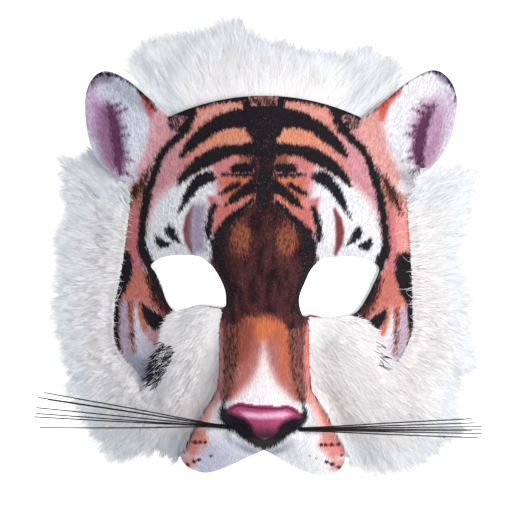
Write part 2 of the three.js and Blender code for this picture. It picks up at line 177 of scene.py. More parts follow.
def spline(points, spacing, closed=False):
    """Points at an even spacing along a smooth line through a few places."""
    p = np.array(points, float)
    if closed:
        p = np.vstack([p[-1:], p, p[:2]])
    else:
        p = np.vstack([2 * p[0] - p[1], p, 2 * p[-1] - p[-2]])
    t = np.linspace(0, 1, 40, endpoint=False)[:, None]
    pieces = []
    for a, b, c, d in zip(p[:-3], p[1:-2], p[2:-1], p[3:]):
        pieces.append(0.5 * (2 * b + (c - a) * t + (2 * a - 5 * b + 4 * c - d) * t ** 2
                             + (3 * b - 3 * c + d - a) * t ** 3))
    line = np.vstack(pieces + [p[-2:-1]])
    return resampled(line, spacing)


def resampled(line, spacing):
    steps = np.hypot(*np.diff(line, axis=0).T)
    run = np.concatenate([[0], np.cumsum(steps)])
    count = max(2, int(round(run[-1] / spacing)) + 1)
    at = np.linspace(0, run[-1], count)
    return np.stack([np.interp(at, run, line[:, k]) for k in range(line.shape[1])], axis=1)


def distance_to_line(points, x, y, widths=None):
    """Distance to an open line, less its half width at the nearest place."""
    best = np.full(np.shape(x), 1e9)
    for i in range(len(points) - 1):
        a, b = np.array(points[i][:2], float), np.array(points[i + 1][:2], float)
        run = b - a
        t = np.clip(((x - a[0]) * run[0] + (y - a[1]) * run[1]) / max(run @ run, 1e-9), 0, 1)
        d = np.hypot(x - a[0] - t * run[0], y - a[1] - t * run[1])
        if widths is not None:
            d = d - (widths[i] * (1 - t) + widths[i + 1] * t)
        best = np.minimum(best, d)
    return best


def inside(points, x, y):
    """Which places lie in a closed outline."""
    odd = np.zeros(np.shape(x), bool)
    n = len(points)
    for i in range(n):
        (x0, y0), (x1, y1) = points[i], points[(i + 1) % n]
        if y0 == y1:
            continue
        crosses = (y0 > y) != (y1 > y)
        odd ^= crosses & (x < (x1 - x0) * (y - y0) / (y1 - y0) + x0)
    return odd


def distance_to_shape(points, x, y):
    """Signed distance to a closed outline, less than zero inside."""
    loop = list(points) + [points[0]]
    d = distance_to_line(loop, x, y)
    return np.where(inside(points, x, y), -d, d)


# Heights of the shell, the same as in the part's source

def head_height(x, y):
    """The barrel of the head, with the sockets, brows and cheekbones in it."""
    away = np.abs(x)
    side = np.minimum(1, away / RIM_HALF_WIDTH)
    height = along(CHEEK_LINE, y) * (1 - side ** BARREL_POWER) ** BARREL_ROUNDING
    for shape in HEAD_FORMS.values():
        height = height + form(shape, away, y)
    return height


def leather_rise(away, y):
    past_edge = away - along(LEATHER_WIDTH, y)
    return LEATHER_RISE * (1 - ramp(-LEATHER_EDGE, LEATHER_EDGE, past_edge)) * ramp(*LEATHER_TOP, y)


def muzzle_height(x, y):
    """The ridge of the nose, and below it the two lobes of the muzzle."""
    away = np.abs(x)
    wings = ramp(*WINGS_OVER, y)
    chin = ramp(*CHIN_OVER, y)
    crown = NOSE_CROWN[0] * (away / NOSE_CROWN[1]) ** 2
    nose = along(NOSE_LINE, y) - crown - WING_DROP * wings * ramp(*WING_DROPS_OVER, away) - CHIN_DROP * chin
    lobe = LOBE_GROUND + form(LOBE, away, y)
    philtrum = PHILTRUM[0] * bump(away, 0, 0, 0, PHILTRUM[1], 1) * ramp(*PHILTRUM_OVER, y)
    whole = smooth_max(nose, lobe * wings, MUZZLE_BLEND)
    return whole + leather_rise(away, y) + form(NOSE_WING, away, y) - form(NOSTRIL, away, y) - philtrum


def ear_share(x, y):
    """How far past the ear's root a place is, and how much of its height the ear gives there."""
    run = np.array(EAR_ROOT_TO, float) - EAR_ROOT_FROM
    run /= np.hypot(*run)
    past = (np.abs(x) - EAR_ROOT_FROM[0]) * -run[1] + (y - EAR_ROOT_FROM[1]) * run[0]
    return past, ramp(*EAR_RISES_OVER, past) * ramp(*EAR_RISES_ABOVE, y)


def fur_bed(x, y):
    """The shell without its ears, which the fur passes behind."""
    head = head_height(x, y)
    wall = 1 - ramp(MUZZLE_WALL_TOP, MUZZLE_WALL_FOOT, np.abs(x) - along(MUZZLE_WIDTH, y))
    return head + wall * np.maximum(0, muzzle_height(x, y) - head)


EAR_LINES = {side: spline(EARS[side], 2.0) for side in SIDES}


def face_height(x, y):
    """The printed face of the shell, with its ears."""
    bed = fur_bed(x, y)
    past, share = ear_share(x, y)
    edge = np.where(x < 0, distance_to_line(EAR_LINES[-1], x, y), distance_to_line(EAR_LINES[1], x, y))
    ear = EAR_HEIGHT + EAR_LIFT * past + EAR_RIM_RISE * (1 - ramp(0, EAR_RIM_WIDTH, edge))
    return bed + share * (ear - bed)


def slopes(height, x, y, step=0.5):
    return ((height(x + step, y) - height(x - step, y)) / (2 * step),
            (height(x, y + step) - height(x, y - step)) / (2 * step))


def forehead_arc(spacing):
    half = (FOREHEAD_RIGHT[0] - FOREHEAD_LEFT[0]) / 2
    ends = (FOREHEAD_LEFT[1] + FOREHEAD_RIGHT[1]) / 2
    rise = FOREHEAD_TOP - ends
    radius = (half ** 2 + rise ** 2) / (2 * rise)
    share = np.linspace(0, 1, int(2 * half / spacing))[1:-1]
    x = FOREHEAD_LEFT[0] + share * 2 * half
    tilt = (FOREHEAD_LEFT[1] - ends) * (1 - 2 * share)
    y = FOREHEAD_TOP - radius + np.sqrt(radius ** 2 - (x - FOREHEAD_LEFT[0] - half) ** 2) + tilt
    return np.stack([x, y], axis=1)


def shell_outline(spacing):
    """The whole outer edge, from the forehead's left end over the right ear and round."""
    margin = spline(SIDE_MARGIN, spacing)
    return np.vstack([
        forehead_arc(spacing),
        spline(EARS[1], spacing),
        margin,
        spline(LOBES[1], spacing),
        [MOUTH_NOTCH],
        spline(LOBES[-1], spacing)[::-1],
        (margin * (-1, 1))[::-1],
        spline(EARS[-1], spacing)[::-1],
    ])


def eye_outline(side, spacing):
    return spline(EYE_HOLES[side], spacing, closed=True)[:-1]


# Photo pixels and colours

def to_px(x, y):
    return FACE_ZERO_PX[0] + x / MM_PER_PX, FACE_ZERO_PX[1] - y / MM_PER_PX


def drop(py):
    """How much lower the right half of the print lies at this height."""
    at, value = np.array(RIGHT_HALF_DROP, float).T
    return np.interp(py, at, value)


def linear(rgb):
    """A colour read off a screen, 0 to 255, as light."""
    c = np.asarray(rgb, float) / 255
    return np.where(c <= 0.04045, c / 12.92, ((c + 0.055) / 1.055) ** 2.4)


def rgba(rgb):
    return tuple(float(c) for c in linear(rgb)) + (1.0,)


# The print, in photo pixels on the left half. The right half is the same print turned over.
# A shape that crosses the middle line is drawn past it.

PAST = 300
INK_STROKES = {
    "middle line": [(263.75, 106, 22), (263.75, 124, 20), (263.75, 131, 8), (263.75, 140, 4),
                    (263.75, 165, 3.6), (263.75, 180, 6), (263.75, 198, 7), (263.75, 208, 3)],
    "top edge": [(186, 110, 4), (197, 106, 4), (210, 101.5, 4), (225, 99, 4.2), (240, 97.5, 4.6),
                 (250, 98, 6)],
    "beside the middle": [(252.5, 124, 3), (252, 136, 1.8), (252.5, 152, 2), (254.5, 166, 1.8),
                          (258, 182, 2)],
    "outer line": [(172, 122, 4.5), (188, 129, 3.5), (179, 136, 4), (166, 148, 4.2), (158.7, 159.7, 4.2),
                   (152.8, 177.3, 4.6), (147.5, 192, 4.6), (144, 214, 4.6), (141.4, 236, 4.2),
                   (141.6, 248, 5), (146, 258, 6), (150, 268, 5.5), (156, 284, 4.5), (162, 296, 4),
                   (170, 306, 3)],
    "second band": [(263, 118, 11), (240, 118.5, 10.5), (225, 121, 8.6), (212, 127, 7.4), (199, 137, 6.8),
                    (188, 148, 5.4), (181.5, 156, 2.8)],
    "third band": [(256, 149.5, 7.5), (248, 149.5, 7), (237, 150, 5.4), (223, 152, 7), (211, 157, 7.8),
                   (199, 164, 7.2), (189, 171.5, 5.6), (181, 180, 3.6), (178, 185, 1.8)],
    "upper block": [(249, 168, 5.6), (239, 168.5, 6), (235, 169, 5)],
    "lower block": [(251, 175, 2.8), (238, 174.8, 2.6), (223, 175, 1.6)],
    "small stroke": [(220.5, 193.5, 1.8), (229, 189, 3.6), (238, 184.5, 3)],
    "chevron": [(262, 183, 7), (247, 189.5, 6.4), (236, 197, 5.2), (226, 205, 1.8)],
    "side of the nose": [(215, 205.5, 2.5), (211.5, 212, 3.4), (209.5, 222, 3.8), (208.5, 232, 4),
                         (209, 238, 3)],
    "inner eye": [(250, 203, 3.6), (240, 212, 4.2), (230, 220, 4.6), (221, 232, 6.5), (218, 243, 7),
                  (218, 254, 6.5), (221, 262, 4.5), (224, 274, 4), (228, 290, 4.5), (229, 305, 4)],
    "below the nose": [(263.75, 437, 9), (263.75, 443, 6), (263.75, 449.5, 2)],
    "side patch tail": [(119, 291, 3.2), (117, 303, 3.4), (116, 315, 3.4), (115.5, 330, 3.2),
                        (117.5, 345, 2.4), (121, 352, 1)],
}
INK_SHAPES = {
    "brow leaf": [(216.5, 178), (214, 172), (206, 170.5), (196, 175), (188, 185), (182, 197.5), (177, 213),
                  (176.5, 217), (184, 208.5), (192, 198), (199.5, 189), (208.5, 183.5), (215, 181.5)],
    "beside the forehead": [(166, 117), (186, 106), (197, 101), (199, 108), (196, 116), (194, 123),
                            (188, 131), (180, 134), (170, 128)],
    "upper eye patch": [(169, 223), (175, 229), (180, 240), (183, 245), (173, 241), (166, 235), (164, 229)],
    "lower eye patch": [(155.5, 234), (160, 237.5), (171, 243), (169, 247), (158.5, 249), (155, 242)],
    "leaf under the eye": [(139.5, 301), (147.6, 306), (158, 313), (167, 317), (162.5, 325), (154.5, 332),
                           (147, 325), (141, 313)],
    "side patch": [(119, 251), (129, 251), (133, 262), (132, 275), (127, 289), (121, 297), (112, 300),
                   (112, 252)],
}
BROWN_SHAPES = {
    "bridge between the eyes": [(PAST, 194), (255, 198), (243, 208), (233, 220), (223, 226), (212, 240),
                                (210, 262), (218, 285), (222, 300), (219, 318), (226, 326), (238, 326),
                                (246, 317), (PAST, 312)],
}
BROWN_STROKES = {
    "beside the middle line": [(263.75, 126, 14), (263.75, 150, 13), (263.75, 178, 13), (263.75, 200, 12)],
    "temple": [(150, 170, 2.5), (143, 180, 4), (136, 191, 5), (130, 201, 3.5), (127, 210, 1.5)],
    "eye corner": [(148, 278, 3.5), (157, 292, 8), (165, 304, 9), (171, 314, 6)],
    "lower strip line": [(129, 303, 0.6), (131, 322, 1.4), (131.6, 336, 2), (132, 346, 1.2), (133, 352, 0.5)],
}
MOTTLED_BRIDGE_SIDE = [(230.5, 314, 9), (231, 335, 7), (231, 352, 6.5), (230, 370, 6), (227.5, 385, 4.5),
                       (224.5, 396, 2.5)]
# Where the ink is worn thin: outline, and the most that it fills there
THIN_INK = [([(247, 94), (PAST, 94), (PAST, 106), (251, 106)], -1.0),
            ([(166, 121), (178, 114), (188, 117), (177, 131), (167, 134), (162, 128)], -1.0)]
OVAL_BY_THE_BRIDGE = (241, 239, 9.5, 15)
OVAL_SOFTNESS = 12
OVAL_BROWN_INSIDE = 1.2
MOTTLED_SOFTNESS = 3
MOTTLED_BROWN_INSIDE = -0.6
LEAF_SOFTNESS = 1.8
SHEEN_SOFTNESS = 2.5
RED_BROWN_LEAF = [(193, 207, 1.4), (189, 217, 3.4), (187.5, 230, 4.4), (188.5, 241, 3.6), (192, 252, 1.4)]

# The parts of the print that differ from side to side, and painted shade on the left half: -1 left, 1 right
MUZZLE_SPOTS = {
    -1: [(187, 441.5, 2.2), (194.8, 441.5, 2.2), (200.3, 441.5, 2), (205.4, 441.5, 1.6), (196, 426.3, 1.5),
         (183.3, 451.8, 1.5), (187.6, 464.5, 2.2), (194.2, 461, 2), (199, 459, 1.8), (211.2, 455.2, 1.3)],
    1: [(321.2, 444, 1.8), (325.5, 444, 1.8), (331.2, 444, 2.1), (338.4, 444, 2), (341.5, 454.8, 1.5),
        (326.3, 461.1, 1.9), (331.8, 463.5, 2), (338.7, 466.9, 2), (316, 457.5, 0.9), (309.3, 454.8, 0.8)],
}
NOSE_LEATHER = [(227, 411), (230.6, 407.6), (235.4, 404.5), (241.5, 403.3), (247.5, 405), (262, 406.4),
                (279, 407), (286.3, 405.7), (292.4, 407.6), (297.2, 411.2), (301.5, 416.6), (291, 418.5),
                (284, 421.5), (279, 426), (277, 431), (271, 436), (264.5, 438.5), (258.5, 436),
                (253.6, 432), (251, 424.5), (245, 418.5), (238, 416)]
LEATHER_SHEEN = [(240, 410.5), (262, 412), (284, 410.5), (292, 413), (283, 417), (262, 418), (246, 416.5)]
NOSTRIL_INK = {
    -1: [(219.7, 407), (224, 406), (229, 409.5), (241, 413), (249, 415), (256, 424), (259, 434),
         (265, 441), (264, 449), (256, 447), (247.5, 441.5), (238, 434.5), (227, 428), (221, 419.5),
         (218.5, 412)],
    1: [(307.5, 408), (303.5, 408), (300.5, 413), (289, 415), (281, 418), (275, 425), (272, 433),
        (265, 440), (264.5, 449), (274, 446.5), (283, 439.5), (291, 433.5), (299, 429.5), (305, 423.5),
        (308.5, 416)],
}
NOSE_WING_INK = {
    -1: [(227, 392, 0.6), (224.5, 401.5, 1.6), (222, 409, 2.6)],
    1: [(298.4, 390, 0.6), (302, 401.5, 1.6), (304.5, 410, 2.4)],
}
EAR_CORE = {
    -1: [(107, 104, 1.5), (110, 112, 4.5), (114, 122, 5.5), (116, 138, 5.5), (118, 152, 6), (119, 165, 4),
         (120, 173, 2)],
    1: [(434, 105, 1.5), (429, 113, 4), (424, 124, 6), (420, 138, 7), (419, 150, 6.5), (420, 161, 5),
        (422, 171, 2)],
}
EAR_TUFTS = {"count": 10, "length": 15, "width": 2.6, "rise": 0.45, "shortest": 0.75, "uneven": 0.35}
EAR_EDGE_INK = {
    -1: [(85.5, 92, 0.6), (88, 85, 1.6), (94, 77, 1.8), (103, 73, 1.9), (118.5, 75, 1.9), (134, 85, 2),
         (146, 98, 2), (155, 110, 1)],
    1: [(366, 116, 0.4), (378.7, 108, 0.8), (393, 94.5, 0.9), (407.5, 82, 1), (418, 74.5, 1.1),
        (430.5, 70.6, 1.4), (442, 72, 2), (449, 79, 2.2), (455.5, 91, 1.2), (457.5, 105, 0.7)],
}

# Soft areas of colour, painted one over another: outline, colour, and softness in pixels
WHITE = (226, 225, 230)
ROSE = (202, 140, 148)
SALMON = (207, 133, 120)
BROWN_ORANGE = (196, 110, 80)
COLOUR_AREAS = {
    "bridge ground": ([(PAST, 206), (248, 206), (232, 226), (214, 246), (212, 262), (219, 290),
                       (219, 400), (PAST, 400)], (128, 66, 54), 3),
    "beside the bridge's top": ([(208, 196), (241, 200), (232, 222), (214, 238)], (190, 108, 104), 3),
    "forehead rose": ([(163, 120), (186, 108), (203, 101), (225, 96), (PAST, 93), (PAST, 212), (245, 216),
                       (232, 224), (220, 236), (212, 238), (210, 222), (217, 196), (214, 184), (219, 170),
                       (205, 168), (190, 176), (174, 184), (158, 198), (150, 212), (146, 232), (138, 240),
                       (141, 212), (145, 188), (154, 164)], ROSE, 6),
    "forehead salmon": ([(190, 112), (203, 101), (225, 96), (PAST, 93), (PAST, 206), (246, 210),
                         (232, 221), (221, 231), (216, 230), (216, 220), (223, 198), (222, 184),
                         (225, 164), (212, 160), (200, 164), (190, 168), (180, 172), (184, 156),
                         (186, 134)], SALMON, 7),
    "first orange band": ([(195, 119), (206, 110), (222, 105.5), (240, 103), (243, 108), (226, 112),
                           (208, 119), (199, 124)], (214, 148, 134), 3),
    "second orange band": ([(249, 131), (249, 143), (230, 143.5), (214, 144), (206, 147), (208, 138),
                            (222, 131), (236, 129)], (216, 140, 108), 4),
    "third orange band": ([(214, 157), (233, 155), (236, 178), (222, 186), (214, 176)], (200, 122, 122), 4),
    "beside the middle line": ([(238, 153), (PAST, 153), (PAST, 163), (240, 163)], (150, 84, 66), 3),
    "above the chevron": ([(222, 178), (240, 176), (262, 176), (262, 192), (240, 202), (224, 200)],
                          BROWN_ORANGE, 4),
    "below the chevron": ([(217, 205), (241, 205), (232, 219), (215, 232)], (196, 110, 104), 3),
    "beside the ear's root": ([(172, 119), (163, 150), (150, 176), (139, 192), (131, 188), (126, 176),
                               (140, 160), (150, 136), (150, 106)], (216, 156, 148), 6),
    "side above the patch": ([(106, 204), (146, 180), (142, 210), (138, 240), (138, 262), (106, 262)],
                             (182, 116, 98), 4),
    "side rose": ([(131, 206), (139, 208), (142, 250), (141, 276), (132, 278), (129, 250)],
                  (200, 112, 122), 4),
    "side orange": ([(110, 282), (128, 272), (142, 264), (152, 280), (164, 296), (178, 312), (168, 322),
                     (150, 308), (134, 304), (110, 306)], (196, 115, 102), 4),
    "lower corner": ([(108, 304), (126, 299), (138, 300), (152, 314), (160, 338), (150, 398), (118, 362),
                      (106, 340)], (214, 164, 168), 4),
    "outer strip of the corner": (
        [(119, 304), (127, 302), (128, 340), (130, 356), (121, 350), (119, 330)], (184, 166, 188), 2.5),
    "orange between the strips": (
        [(127, 296), (134, 296), (134, 322), (131, 326), (128, 320)], (204, 122, 106), 2),
    "white of the corner": ([(133.5, 308), (138, 310), (142, 328), (152, 338), (158, 364), (150, 398),
                             (136, 368), (133.5, 336)], (226, 220, 232), 2.5),
    "orange beside the eye leaf": (
        [(137, 302), (141, 308), (149, 334), (143, 332), (138, 316)], (204, 116, 90), 2),
    "rose below the eye leaf": ([(145, 331), (162, 326), (158, 342), (148, 342)], (218, 164, 168), 3.5),
    "tip of the corner": ([(122, 352), (134, 352), (151, 366), (150, 398), (132, 384)], (172, 170, 186), 6),
    "bridge below the eyes": ([(208, 290), (PAST, 290), (PAST, 350), (253, 354), (249, 384), (236, 398),
                               (212, 404)], (156, 84, 66), 4),
    "orange on the bridge": ([(PAST, 314), (PAST, 342), (259, 342), (250, 332), (248, 320)],
                             (206, 114, 76), 6),
    "rose beside the white": ([(238, 350), (246, 338), (258, 338), (260, 352), (256, 372), (246, 388),
                               (236, 396), (233, 378)], (180, 108, 102), 6),
    "pink of the bridge": ([(PAST, 340), (263, 341), (260, 352), (257, 364), (251, 378), (240, 391),
                            (231, 400), (226, 406), (226, 416), (PAST, 416)], (238, 208, 206), 6),
    "white of the bridge": ([(PAST, 354), (264, 358), (260, 372), (252, 386), (240, 397), (230, 403),
                             (228, 416), (PAST, 416)], (243, 238, 240), 7),
    "side of the nose": ([(206, 326), (226, 326), (227, 392), (212, 410), (200, 424), (180, 424),
                          (194, 400), (206, 380)], (216, 140, 130), 3.5),
    "muzzle white": ([(219, 400), (228, 400), (224, 410), (240, 440), (262, 452), (262, 484), (172, 484),
                      (172, 448), (196, 428), (208, 416)], (232, 232, 238), 5),
    "outer band of the muzzle": (
        [(200, 392), (219, 392), (214, 408), (208, 424), (198, 438), (184, 450), (166, 450), (184, 416)],
        (244, 180, 170), 5),
    "upper orange of the muzzle": (
        [(186, 430), (205, 430), (210, 443), (205, 453), (192, 456), (178, 448)], (218, 138, 128), 4),
    "lower rose of the muzzle": (
        [(181, 456), (195, 456), (198, 466), (184, 470)], (214, 150, 148), 3.5),
    "shade at the mouth": ([(236, 442), (264, 452), (PAST, 452), (PAST, 464), (262, 458), (244, 452)],
                           (158, 162, 184), 4),
}
ONE_SIDED_AREAS = {
    -1: {
        # Painted shade: the left edge of the bridge is darker than the right, as it faces away from the
        # light.
        "shaded left edge of the bridge": ([(232, 322), (255, 322), (251, 350), (243, 364), (234, 360)],
                               (148, 78, 62), 6),
        # Painted shade: a lavender-grey shade on the white beside the left red-brown leaf.
        "painted shade beside the red-brown leaf": (
            [(192, 204), (206, 204), (205, 250), (193, 254), (189, 236)], (156, 143, 165), 6),
        # Painted shade: the left lobe's white is darker and bluer than the right lobe's, as it faces away
        # from the light.
        "muzzle white": ([(200, 448), (222, 436), (244, 450), (258, 470), (236, 484), (196, 484)],
                         (202, 203, 220), 7),
        # Painted shade: the left ear's ground, white, outer edge, top and core are darker than the right
        # ear's, as the left ear lies away from the light.
        "ear ground": ([(76, 60), (110, 60), (160, 108), (146, 150), (140, 176), (124, 188), (76, 160)],
                       (190, 192, 206), 3),
        "shaded white of the ear": ([(128, 112), (138, 104), (150, 120), (146, 160), (136, 170), (128, 150)],
                             (205, 206, 218), 6),
        "outer edge of the ear": (
            [(84, 92), (92, 86), (102, 100), (104, 112), (97, 130), (92, 140), (82, 120)],
            (184, 156, 188), 5),
        "around the ear's core": (
            [(96, 106), (106, 104), (118, 112), (123, 140), (125, 170), (112, 174), (102, 160), (95, 135)],
            (136, 98, 128), 7),
        "top of the ear": ([(88, 80), (100, 73), (114, 74), (112, 81), (98, 84), (90, 90)],
                           (138, 122, 146), 4),
        "inner edge of the ear": (
            [(136, 86), (147, 94), (157, 110), (151, 120), (144, 106)], (182, 88, 84), 3),
        "beside the ear's root": (
            [(152, 112), (172, 112), (168, 130), (156, 146), (142, 176), (134, 172), (146, 150),
             (150, 130)], (216, 158, 166), 6),
    },
    1: {
        "strip by the fur": ([(304, 322), (313, 322), (314, 370), (322, 398), (334, 425), (325, 425),
                              (313, 396), (305, 372)], (222, 133, 124), 2),
        "outer edge of the ear": (
            [(443, 96), (460, 100), (468, 130), (462, 160), (447, 178), (438, 170), (439, 140), (440, 115)],
            (226, 200, 218), 6),
        "side rose": ([(394, 196), (410, 200), (410, 252), (397, 252)], (226, 150, 142), 5),
        "muzzle white": ([(272, 458), (300, 440), (326, 452), (326, 484), (280, 484)], (242, 242, 246), 6),
        "ear ground": ([(404, 76), (440, 62), (464, 80), (460, 150), (432, 180), (406, 180), (392, 160),
                        (383, 122), (388, 104)], (229, 226, 232), 3),
        "inner edge of the ear": (
            [(378, 106), (400, 86), (402, 92), (390, 104), (384, 122), (376, 120)], (196, 82, 70), 3),
        "beside the ear's root": (
            [(362, 112), (378, 110), (384, 130), (388, 150), (398, 172), (388, 180), (378, 156)],
            (216, 154, 148), 6),
        "around the ear's core": (
            [(424, 100), (438, 96), (446, 112), (443, 140), (436, 164), (424, 172), (414, 160), (410, 126)],
            (186, 146, 176), 8),
        "top of the ear": ([(434, 70), (444, 70), (452, 82), (446, 84), (438, 78)], (150, 136, 166), 3),
        "outer part of the ear": (
            [(446, 90), (462, 90), (460, 120), (450, 146), (444, 120)], (216, 196, 218), 6),
        "side of the bridge": ([(276, 322), (288, 322), (290, 352), (288, 376), (282, 384), (280, 352)],
                               (190, 104, 74), 4),
    },
}
OVAL_COLOUR = (158, 90, 66)
LEAF_COLOUR = (122, 58, 60)
MOTTLED_COLOUR = (158, 98, 86)
LEATHER_MIDDLE = (168, 62, 106)
LEATHER_LIGHT = (232, 178, 204)
LEATHER_LOW = (46, 22, 36)
LEATHER_LOW_OVER_PX = (421, 439)
LEATHER_MARGIN_PX = 2
HALVES_PART_OVER_PX = 35
SPOT_WIDENING = 1.25
FAR = 99.0


def soft(distance, softness):
    return 1 - ramp(-softness, softness, distance)


def blend_in(colour, new, share):
    return colour * (1 - share[:, None]) + np.array(new, float) * share[:, None]


def ear_tufts(side):
    """Short dark hairs that fan out of the ear's core, towards the middle of the mask."""
    core = resampled(np.array(EAR_CORE[side], float)[:, :2], 0.5)
    strokes = []
    for i in range(EAR_TUFTS["count"]):
        share = (i + 0.7) / EAR_TUFTS["count"]
        start = core[int(share * (len(core) - 1))]
        run = np.array([-side, -EAR_TUFTS["rise"] * math.cos(share * math.pi)]) * EAR_TUFTS["length"]
        run *= EAR_TUFTS["shortest"] + EAR_TUFTS["uneven"] * math.sin(i * 2.1)
        width = EAR_TUFTS["width"]
        strokes.append([(*start, width), (*(start + run * 0.7), width * 0.6), (*(start + run), 0)])
    return strokes


def stroke_distance(stroke, x, y):
    return distance_to_line(stroke, x, y, [p[2] for p in stroke])


def nearest_stroke(strokes, x, y):
    return np.minimum.reduce([stroke_distance(stroke, x, y) for stroke in strokes])


def nearest_shape(outlines, x, y):
    return np.minimum.reduce([distance_to_shape(outline, x, y) for outline in outlines])


def elsewhere(side, right):
    """Zero on one side of the mask, and far on the other."""
    return np.where(right if side > 0 else ~right, 0, FAR)


def ground_colour(px, py, u, v, right, mottled, oval):
    """The soft colours of the print, with the painted shade on the left half, before its dark parts."""
    colour = np.tile(np.array(WHITE, float), (len(px), 1))
    for outline, tone, softness in COLOUR_AREAS.values():
        colour = blend_in(colour, tone, soft(distance_to_shape(outline, u, v), softness))
    colour = blend_in(colour, LEAF_COLOUR, soft(stroke_distance(RED_BROWN_LEAF, u, v), LEAF_SOFTNESS))
    colour = blend_in(colour, MOTTLED_COLOUR, soft(mottled, MOTTLED_SOFTNESS))
    colour = blend_in(colour, OVAL_COLOUR, soft(oval, OVAL_SOFTNESS))
    for side in SIDES:
        on_side = right if side > 0 else ~right
        for outline, tone, softness in ONE_SIDED_AREAS[side].values():
            colour = blend_in(colour, tone, soft(distance_to_shape(outline, px, py), softness) * on_side)
    return colour


def leather_colour(px, py):
    skin = np.tile(np.array(LEATHER_MIDDLE, float), (len(px), 1))
    skin = blend_in(skin, LEATHER_LIGHT, soft(distance_to_shape(LEATHER_SHEEN, px, py), SHEEN_SOFTNESS))
    return blend_in(skin, LEATHER_LOW, ramp(*LEATHER_LOW_OVER_PX, py))


def ink_distance(px, py, u, v, right):
    ink = np.minimum(nearest_stroke(INK_STROKES.values(), u, v), nearest_shape(INK_SHAPES.values(), u, v))
    for outline, limit in THIN_INK:
        ink = np.maximum(ink, limit - 2 * np.maximum(distance_to_shape(outline, u, v), 0))
    for side in SIDES:
        on_one_side = nearest_stroke([NOSE_WING_INK[side], EAR_EDGE_INK[side]], px, py)
        ink = np.minimum(ink, elsewhere(side, right) + on_one_side)
        ink = np.minimum(ink, distance_to_shape(NOSTRIL_INK[side], px, py))
    return ink


def brown_distance(u, v, mottled, oval):
    brown = nearest_shape(BROWN_SHAPES.values(), u, v)
    brown = np.minimum(brown, np.maximum(mottled, MOTTLED_BROWN_INSIDE))
    brown = np.maximum(brown, np.minimum(-oval, OVAL_BROWN_INSIDE))
    return np.minimum(brown, nearest_stroke(BROWN_STROKES.values(), u, v))


def ear_dark_distance(px, py, right):
    dark = np.full(len(px), FAR)
    for side in SIDES:
        strokes = [EAR_CORE[side]] + ear_tufts(side)
        dark = np.minimum(dark, elsewhere(side, right) + nearest_stroke(strokes, px, py))
    return dark


def spot_distance(px, py):
    return np.minimum.reduce([np.hypot((px - sx) / SPOT_WIDENING, py - sy) - radius
                              for side in SIDES for sx, sy, radius in MUZZLE_SPOTS[side]])


def painted(x, y):
    """Base colour (screen values) and signed distances of the dark parts of the print, in pixels."""
    px, py = to_px(x, y)
    right = px > MIRROR_LINE_PX
    u = MIRROR_LINE_PX - np.abs(px - MIRROR_LINE_PX)
    v = py - np.where(right, drop(py) * ramp(0, HALVES_PART_OVER_PX, px - MIRROR_LINE_PX), 0)
    mottled = stroke_distance(MOTTLED_BRIDGE_SIDE, u, v)
    oval_x, oval_y, radius_x, radius_y = OVAL_BY_THE_BRIDGE
    oval = (np.hypot((u - oval_x) / radius_x, (v - oval_y) / radius_y) - 1) * radius_x
    leather = distance_to_shape(NOSE_LEATHER, px, py)
    on_leather = (leather < LEATHER_MARGIN_PX)[:, None]
    colour = np.where(on_leather, leather_colour(px, py), ground_colour(px, py, u, v, right, mottled, oval))
    return colour, {
        "ink": ink_distance(px, py, u, v, right),
        "brown": brown_distance(u, v, mottled, oval),
        "ear_dark": ear_dark_distance(px, py, right),
        "spots": spot_distance(px, py),
        "leather": leather,
    }


# Meshes

def place(points):
    """Face frame millimetres to the part's metres."""
    out = np.array(points, float)
    out[:, :2] += FACE_CENTRE
    return out / 1000


def mesh_object(name, vertices, faces, materials, smooth=True):
    """An object from vertices in metres and faces that all have the same number of corners."""
    mesh = bpy.data.meshes.new(name)
    faces = np.asarray(faces)
    count, corners = faces.shape
    mesh.vertices.add(len(vertices))
    mesh.vertices.foreach_set("co", np.asarray(vertices, np.float32).ravel())
    mesh.loops.add(faces.size)
    mesh.loops.foreach_set("vertex_index", faces.astype(np.int32).ravel())
    mesh.polygons.add(count)
    mesh.polygons.foreach_set("loop_start", np.arange(0, faces.size, corners, dtype=np.int32))
    mesh.update(calc_edges=True)
    mesh.validate()
    for material in materials:
        mesh.materials.append(material)
    if smooth:
        mesh.shade_smooth()
    obj = bpy.data.objects.new(name, mesh)
    bpy.context.scene.collection.objects.link(obj)
    return obj


def add_values(obj, name, values):
    """Writes one number or one colour for each vertex."""
    values = np.asarray(values, np.float32)
    kind = "FLOAT" if values.ndim == 1 else "FLOAT_COLOR"
    layer = obj.data.attributes.new(name, kind, "POINT")
    layer.data.foreach_set("value" if values.ndim == 1 else "color", values.ravel())


# Rows of points are this share of the pitch apart, and no point is nearer than that share to the border
ROW_STEP = 0.866
CLEAR_OF_BORDER = 0.55
EDGE_SPACING = 0.8
FRONT_PITCH = 0.78
BACK_PITCH = 2.4
LOWEST_FACE = 0.6
WALL_EVENS_OUT_OVER = 9
SHARP_DEGREES = 50
# How far the cut edge shows past the face: by the eye holes, and along the top and the bottom of the mask
EYE_EDGE_BELOW = 1.1
EYE_EDGE_BESIDE = 0.5
TOP_EDGE = 0.55
BOTTOM_EDGE = 0.5
# The nap of the plush fans out from a place far below the mask
NAP_CENTRE_PX = (263.75, 620)
NAP_FAN_PX = 350
RIM_LIMIT = 81.3
RIM_LIMIT_BELOW = 60
BACKING_FILLER = 0.6
VALUE_LIMIT_PX = 30


def subdivided(loop, spacing):
    """The closed loop with more points on its long sides."""
    ends = np.roll(loop, -1, axis=0)
    pieces = []
    for a, b in zip(loop, ends):
        count = max(1, int(round(np.hypot(*(b - a)) / spacing)))
        pieces.append(a + (b - a) * np.arange(count)[:, None] / count)
    return np.vstack(pieces)


